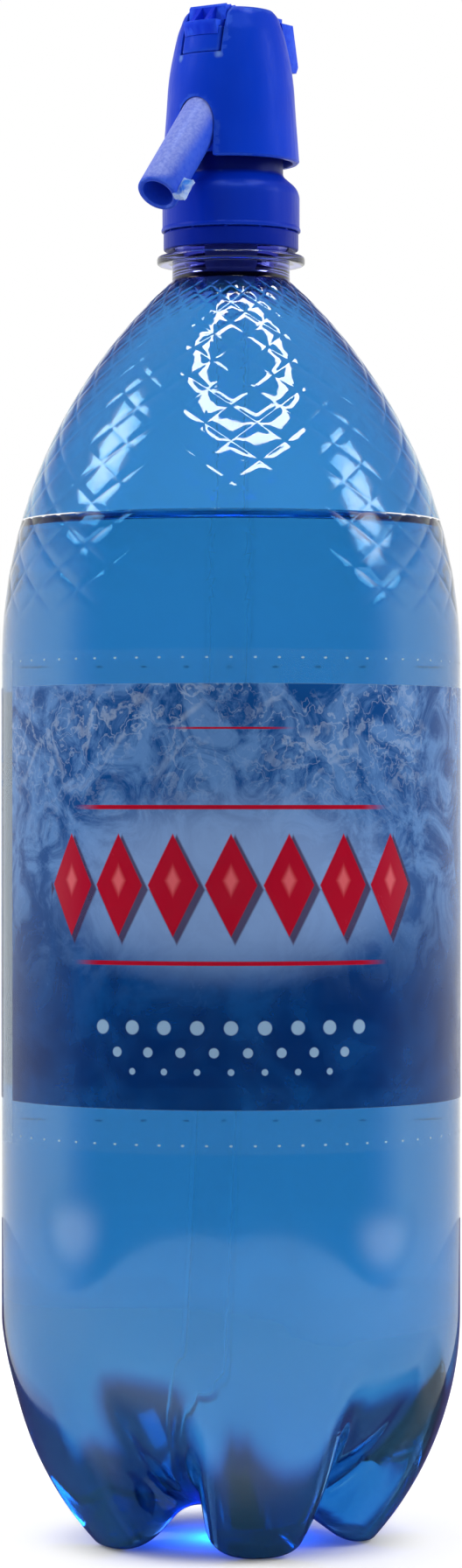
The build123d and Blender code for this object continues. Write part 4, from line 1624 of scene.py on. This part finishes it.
@dataclass
class Spout:
    """The spout, with the torn remnant of its tear-off tab at the mouth."""

    down_deg: float = 48.0
    mouth: Color = (0.0, -28.99, 303.84)
    radius: float = 4.85
    edge: float = 0.4
    stub_deg: float = 20.0
    stub_size: Color = (2.8, 5.8, 1.6)
    stub_back: float = 2.4
    stub_out: float = 0.22
    rough: float = 0.7
    rough_scale: float = 0.9
    soften: float = 0.25
    seed: int = 7
    color: Color = (0.001, 0.040, 0.62)
    drift: Color = (0.004, 0.055, 0.68)
    pale: Color = (0.12, 0.24, 0.85)
    grain: tuple = (0.42, 900.0, 0.8, 0.06, 0.4)
    # Painted highlight: the spout's upward-facing faces above this height are lightened.
    painted_top_highlight: Color = (0.30, 0.37, 0.86)
    painted_highlight_from: float = 0.12
    painted_highlight_z: float = 306.4
    torn_colors: tuple = ((0.002, 0.13, 0.80), (0.02, 0.24, 0.88), (0.7, 0.85, 0.95))
    # Painted highlight on the remnant's upward-facing faces.
    painted_stub_highlight: Color = (0.10, 0.38, 0.88)

    def build(self) -> None:
        """Builds the tube and the remnant."""
        form = Form.node("spout")
        form.break_edges(self.edge, segments=3)
        # Painted highlight along the spout's upper side.
        painted_highlight_args = {"painted_top_highlight": self.painted_top_highlight, "painted_highlight_from": self.painted_highlight_from, "painted_highlight_z": self.painted_highlight_z}
        finish = Moulded("spout_blue", self.color, self.drift, self.pale, *self.grain, **painted_highlight_args)
        form.piece("spout_tube", Body.SIPHON, Slot.SPOUT, finish.make(), ["spout"])
        self._stub()

    def _stub(self) -> None:
        """Builds the remnant."""
        form = Form.sheet(self.stub_size[:2], (5, 7))
        bm = form.bm
        bmesh.ops.solidify(bm, geom=bm.faces[:], thickness=self.stub_size[2])
        noise.seed_set(self.seed)
        for vert in bm.verts:
            vert.co += noise.noise_vector(vert.co * self.rough_scale) * self.rough
        bmesh.ops.smooth_vert(
            bm, verts=form.verts, factor=self.soften, use_axis_x=True, use_axis_y=True, use_axis_z=True
        )
        down, side = math.radians(self.down_deg), math.radians(self.stub_deg)
        along = Vector((0.0, -math.cos(down), -math.sin(down)))
        under = Vector((0.0, math.sin(down), -math.cos(down)))
        out = Vector((1.0, 0.0, 0.0)) * math.cos(side) + under * math.sin(side)
        reach = self.radius + self.stub_out * self.stub_size[0]
        middle = Vector(self.mouth) + out * reach - along * self.stub_back
        axes = Matrix((out, along, out.cross(along))).transposed().to_4x4()
        bmesh.ops.transform(bm, matrix=Matrix.Translation(middle) @ axes, verts=form.verts)
        # Painted highlight: the remnant's upper faces are lightened towards this colour.
        finish = Moulded("torn_plastic", *self.torn_colors, 0.5, painted_top_highlight=self.painted_stub_highlight, painted_highlight_from=0.5)
        form.piece("spout_tab_remnant", Body.SIPHON, Slot.SPOUT, finish.make(), sharp_deg=60.0)


@dataclass
class Lever:
    """The thumb lever."""

    edge: float = 0.28
    color: Color = (0.001, 0.024, 0.66)
    drift: Color = (0.001, 0.030, 0.72)
    pale: Color = (0.03, 0.13, 0.95)

    def build(self) -> None:
        """Builds the lever."""
        form = Form.node("thumb_lever")
        form.break_edges(self.edge)
        finish = Moulded("lever_blue", self.color, self.drift, self.pale, specular=0.35)
        form.piece("lever_dressed", Body.LEVER, Slot.LEVER, finish.make(), ["thumb_lever"])


@dataclass
class Valve:
    """The pieces inside the head, which keep their CAD shapes, and the dip tube."""

    spring_seat: float = 0.6
    white: tuple = ((0.72, 0.75, 0.78), (0.66, 0.70, 0.74), (0.85, 0.87, 0.9))
    blue: tuple = ((0.002, 0.032, 0.75), (0.002, 0.042, 0.82), (0.02, 0.08, 0.9))
    black: tuple = ((0.03, 0.03, 0.035), (0.05, 0.05, 0.055), (0.1, 0.1, 0.1))

    def _spring(self) -> None:
        """Builds the spring from its CAD node, on no body."""
        form = Form.node("return_spring")
        coil = form.piece("spring_coil", None, Slot.STEEL, Steel().make(), ["return_spring"])
        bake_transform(coil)

    def build(self) -> None:
        """Dresses each node."""
        white = Moulded("natural_plastic", *self.white, sheen=WHITE).make()
        rubber = Moulded("seal_rubber", *self.black, 0.6, sheen=WHITE).make()
        dress(Moulded("valve_blue", *self.blue).make(), "valve_body")
        dress(white, "tube_socket", "valve_seat", "valve_stem", "washer_retainer", "stem_guide")
        dress(rubber, "neck_gasket", "seat_ring", "poppet_washer", "stem_ring")
        self._spring()
        dress(MilkyTube().make(), "dip_tube")


# --------------------------------------------------------------------------- studio


@dataclass
class Studio:
    """Floor, lamps, cards, world and camera, in metres.

    A lamp has its name, direction, distance, size and power. A low card has its name, direction, the
    height that it faces, distance, size and strength.
    """

    azimuth_deg: float = 34.5
    distance: float = 1.04
    eye: float = 0.169
    lens: float = 104.5
    shift: float = 0.0089
    floor_size: Point = (1.14, 1.58)
    floor_round: float = 0.46
    floor_steps: int = 16
    floor_grain: float = 40.0
    floor_colors: tuple = ((0.88, 0.88, 0.885), (0.90, 0.90, 0.905))
    floor_rough: float = 0.6
    floor_seen: float = 0.35
    # Painted pool of light: rays through the object see the floor near it glow brighter, more at its sides.
    floor_through: float = 0.40
    floor_flank: float = 1.1
    flank: Point = (0.012, 0.035)
    light_pool_r: Point = (0.05, 0.13)
    floor_direct: float = 0.12
    floor_dull: float = 0.8
    # Painted shade: for camera rays the floor's glow fades out within these distances of the object.
    under_r: Point = (0.024, 0.047)
    under_level: float = 0.03
    shadow: Color = (0.07, 0.05, 0.20)
    shadow_front: float = 0.051
    shadow_side: float = 0.104
    shadow_bow: float = 0.055
    shadow_power: float = 3.4
    shadow_soft: float = 0.012
    glow_power: float = 0.075
    glow_color: Color = (0.0, 0.09, 1.0)
    glow_z: float = 0.005
    glow_r: float = 0.004
    ambient: float = 0.55
    dark: Point = (-0.15, 0.45)
    dark_level: float = 0.06
    dark_through: float = 0.24
    top: Point = (0.16, 0.42)
    top_level: float = 0.42
    wet_rise: Point = (0.12, 0.20)
    dry_rise: Point = (0.20, 0.34)
    wet_depth: Point = (4.4, 5.6)
    through_level: float = 0.17
    shade: Color = (0.12, 0.08, 1.0)
    lamp_z: float = 0.2
    lamps: tuple = (
        ("key_left", (-0.78, 0.02, 0.63), 0.9, (0.28, 0.36), 3.6),
        ("key_right", (0.853, 0.136, 0.503), 0.9, (0.28, 0.36), 3.2),
    )
    card_size: Point = (0.56, 0.60)
    card_glow: float = 4.4
    card_core: float = 0.15
    card_color: Color = (1.0, 0.78, 0.58)
    low_cards: tuple = (
        ("low_left", (-0.98, 0.15, -0.095), 0.076, 0.45, (0.46, 0.036), 2.2),
        ("low_right", (0.98, 0.20, -0.095), 0.074, 0.45, (0.46, 0.032), 2.2),
    )
    ring_way: Color = (0.10, 0.28, 0.95)
    ring_away: float = 0.9
    ring_z: float = 0.25
    ring_r: float = 0.35
    ring_stroke: float = 0.11
    ring_steps: int = 96
    ring_glow: float = 16.0
    ring_light: float = 1.0

    def across(self, right: float, near: float, up: float) -> Vector:
        """Gives a direction.

        Args:
            right: Its share to the right.
            near: Its share towards the front.
            up: Its share upwards.

        Returns:
            The direction, one long.
        """
        turn = math.radians(self.azimuth_deg)
        side = Vector((math.cos(turn), math.sin(turn), 0.0))
        toward = Vector((math.sin(turn), -math.cos(turn), 0.0))
        return (side * right + toward * near + Vector((0.0, 0.0, up))).normalized()

    def camera(self) -> None:
        """Places the camera, which looks level at the axis."""
        data = bpy.data.cameras.new("camera")
        data.lens, data.shift_y = self.lens, self.shift
        made = put("camera", data)
        toward = self.across(0.0, 1.0, 0.0)
        made.location = toward * self.distance + Vector((0.0, 0.0, self.eye))
        made.rotation_euler = (-toward).to_track_quat("-Z", "Y").to_euler()
        bpy.context.scene.camera = made

    def prop(self, form: Form, name: str, material: Material, *hidden: str) -> None:
        """Makes a form a piece of the stage.

        Args:
            form: The form.
            name: Name of the piece.
            material: Material that it wears.
            *hidden: Kinds of ray that don't see it.
        """
        made = put(name, form.mesh(name), hidden)
        made.data.materials.append(material)

    def hang(self, form: Form, toward: Vector, middle: Vector, away: float) -> None:
        """Hangs a form at a distance from a point, facing it.

        Args:
            form: The form.
            toward: Its direction from the point.
            middle: The point.
            away: The distance.
        """
        turn = toward.to_track_quat("Z", "Y").to_matrix().to_4x4()
        place = Matrix.Translation(middle + toward * away) @ turn
        bmesh.ops.transform(form.bm, matrix=place, verts=form.verts)

    def seen(self, path: object, board: Board) -> Socket:
        """Gives the mask of the rays that see the backdrop."""
        return board.most(*(path[f"Is {kind} Ray"] for kind in ("Camera", "Glossy", "Transmission")))

    def floor(self) -> None:
        """Lays a pale floor, whose shine depends on the kind of ray that sees it, with a painted pool of
        light near the object for rays through it and painted shade under and behind it.
        """
        form = Form.sheet(self.floor_size)
        form.bevel(form.verts, self.floor_round, self.floor_steps, "VERTICES")
        turn = Matrix.Rotation(math.radians(self.azimuth_deg), 3, "Z")
        bmesh.ops.rotate(form.bm, matrix=turn, verts=form.verts)
        board, material = blank("pale_floor")
        shader = board.add("BsdfPrincipled")
        board.show(shader)
        path = board.add("LightPath").outputs
        direct, passed = path["Is Camera Ray"], path["Is Transmission Ray"]
        mirrored = board.math("SUBTRACT", path["Is Glossy Ray"], passed, clamp=True)
        lit = board.rest(board.times(self._behind(board), mirrored))
        away = board.measure("LENGTH", board.place())
        aside = board.measure("DOT_PRODUCT", board.place(), self.across(1.0, 0.0, 0.0))
        side = board.math("ABSOLUTE", aside)
        # Painted pool of light near the object, seen only through it.
        flank = board.ramp(side, *self.flank, self.floor_through, self.floor_flank)
        painted_light_pool = board.times(passed, board.ramp(away, *self.light_pool_r, 1.0, 0.0), flank)
        least = self.floor_seen * (1.0 - self.floor_dull)
        dull = board.ramp(mirrored, 0.0, 1.0, self.floor_seen, least)
        shine = board.times(self.seen(path, board), lit, dull)
        shine = board.plus(shine, painted_light_pool, board.times(direct, self.floor_direct))
        # Painted shade under the object: the floor's glow fades out there for camera rays.
        near = board.ramp(away, *self.under_r, 1.0 - self.under_level, 0.0)
        pale = board.mix(board.noise(self.floor_grain), *self.floor_colors)
        values = {
            "Base Color": board.mix(lit, self.shadow, pale),
            "Roughness": self.floor_rough,
            "Emission Color": WHITE,
            "Emission Strength": board.times(shine, board.rest(board.times(direct, near))),
        }
        board.feed(shader, values)
        self.prop(form, "floor", material)

    def _behind(self, board: Board) -> Socket:
        """Gives the mask of the floor behind the object, which reflections show in shadow.

        Args:
            board: Board to build on.

        Returns:
            The mask.
        """
        side, front = (
            board.measure("DOT_PRODUCT", board.place(), self.across(*way, 0.0))
            for way in ((1.0, 0.0), (0.0, 1.0))
        )
        share = board.math("DIVIDE", board.math("ABSOLUTE", side), self.shadow_side)
        bow = board.times(board.math("POWER", share, self.shadow_power), self.shadow_bow)
        line = board.plus(board.math("SUBTRACT", front, self.shadow_front), bow)
        return board.ramp(line, -self.shadow_soft, self.shadow_soft, 1.0, 0.0)

    def world(self) -> None:
        """Lights the room with a pale even world that shows white behind the object."""
        world = bpy.data.worlds.new("room")
        bpy.context.scene.world = world
        world.use_nodes = True
        world.node_tree.nodes.clear()
        board = Board(world.node_tree)
        path = board.add("LightPath").outputs
        direct, passed = path["Is Camera Ray"], path["Is Transmission Ray"]
        seen = self.seen(path, board)
        way = board.add("TexCoord").outputs["Generated"]
        level = board.ramp(passed, 0.0, 1.0, self.dark_level, self.dark_through)
        facing = board.measure("DOT_PRODUCT", way, self.across(0.0, 1.0, 0.0))
        front = board.ramp(facing, *self.dark, 1.0, level)
        rise = board.part(way, "Z")
        mirror = board.ramp(rise, *self.top, 1.0, self.top_level)
        wet, dry = (
            board.ramp(rise, *limits, 1.0, self.through_level) for limits in (self.wet_rise, self.dry_rise)
        )
        depth = board.ramp(path["Transmission Depth"], *self.wet_depth)
        room = board.times(front, board.blend(passed, mirror, board.blend(depth, dry, wet)))
        hidden = board.rest(seen)
        strength = board.times(seen, board.most(room, direct))
        values = {
            "Color": board.mix(board.most(hidden, direct, room), self.shade, WHITE),
            "Strength": board.plus(strength, board.times(hidden, self.ambient)),
        }
        board.show(board.feed(board.add("Background"), values), "World")

    def lights(self) -> None:
        """Hangs soft lamps that the camera doesn't see, and the cards."""
        middle = Vector((0.0, 0.0, self.lamp_z))
        for name, way, away, size, power in self.lamps:
            data = bpy.data.lights.new(name, "AREA")
            data.shape = "RECTANGLE"
            data.size, data.size_y = size
            data.energy = power
            made = put(name, data, ("camera", "glossy"))
            toward = self.across(*way)
            made.location = middle + toward * away
            made.rotation_euler = toward.to_track_quat("Z", "Y").to_euler()
            form, material = self.card(name + "_card", self.card_size, self.card_glow, self.card_color)
            self.hang(form, toward, middle, away)
            self.prop(form, name + "_card", material, "camera", "diffuse", "shadow", "transmission")
        for name, way, start, away, size, glow in self.low_cards:
            form, material = self.card(name, size, glow, WHITE)
            self.hang(form, self.across(*way), Vector((0.0, 0.0, start)), away)
            self.prop(form, name, material, "camera", "diffuse", "shadow", "transmission")

    def glow(self) -> None:
        """Puts the blue glow of light that has gone through the base on the floor under it."""
        data = bpy.data.lights.new("base_glow", "POINT")
        data.energy = self.glow_power
        data.color = self.glow_color
        data.shadow_soft_size = self.glow_r
        made = put("base_glow", data, ("camera", "glossy", "transmission"))
        made.location = (0.0, 0.0, self.glow_z)

    def card(self, name: str, size: Point, glow: float, color: Color) -> tuple[Form, Material]:
        """Makes a soft-edged card that only reflections show.

        Args:
            name: Name of its material.
            size: Its width and height.
            glow: Strength in its middle.
            color: Colour of its light.

        Returns:
            Its form and its material.
        """
        form = Form.sheet(size)
        layer = form.bm.loops.layers.uv.new("UVMap")
        for face in form.bm.faces:
            for loop in face.loops:
                x, y = (2.0 * place / whole for place, whole in zip(loop.vert.co, size))
                loop[layer].uv = (x, y)
        board, material = blank(name)
        spot = board.measure("LENGTH", board.add("TexCoord").outputs["UV"])
        shine = board.ramp(spot, self.card_core, 1.0, 1.0, 0.0)
        light = board.feed(board.add("Emission"), {"Strength": board.times(shine, glow), "Color": color})
        clear = board.add("BsdfTransparent").outputs[0]
        blend = board.feed(board.add("MixShader"), {0: shine, 1: clear, 2: light.outputs[0]})
        board.show(blend)
        return form, material

    def ring(self) -> None:
        """Hangs a ring-shaped lamp overhead."""
        inner, outer = self.ring_r - 0.5 * self.ring_stroke, self.ring_r + 0.5 * self.ring_stroke
        form = Form()
        bmesh.ops.create_circle(form.bm, segments=self.ring_steps, radius=inner)
        edges = bmesh.ops.extrude_edge_only(form.bm, edges=form.bm.edges[:])["geom"]
        rim = [part for part in edges if isinstance(part, BMVert)]
        bmesh.ops.scale(form.bm, vec=(outer / inner, outer / inner, 1.0), verts=rim)
        self.hang(form, self.across(*self.ring_way), Vector((0.0, 0.0, self.ring_z)), self.ring_away)
        board, material = blank("ring_glow")
        glossy = board.add("LightPath").outputs["Is Glossy Ray"]
        strength = board.ramp(glossy, 0.0, 1.0, self.ring_light, self.ring_glow)
        board.show(board.feed(board.add("Emission"), {"Strength": strength}))
        self.prop(form, "ring_lamp", material, "camera", "transmission")

    def build(self) -> None:
        """Builds the studio."""
        self.camera()
        self.ring()
        self.floor()
        self.world()
        self.lights()
        self.glow()
        bpy.context.scene.view_settings.view_transform = "Standard"
        bpy.context.scene.cycles.transmission_bounces = 24
        bpy.context.scene.cycles.max_bounces = 28
        bpy.context.scene.cycles.transparent_max_bounces = 24


def main() -> None:
    """Builds every sub-assembly in order."""
    logging.basicConfig(level=logging.INFO, format="%(name)s: %(message)s", force=True)
    bottle = Bottle()
    for assembly in (
        bottle,
        Contents(bottle),
        LabelFilm(bottle.start_deg),
        Valve(),
        Shell(),
        Collar(),
        Spout(),
        Lever(),
        Studio(),
    ):
        assembly.build()


if __name__ == "__main__":
    main()
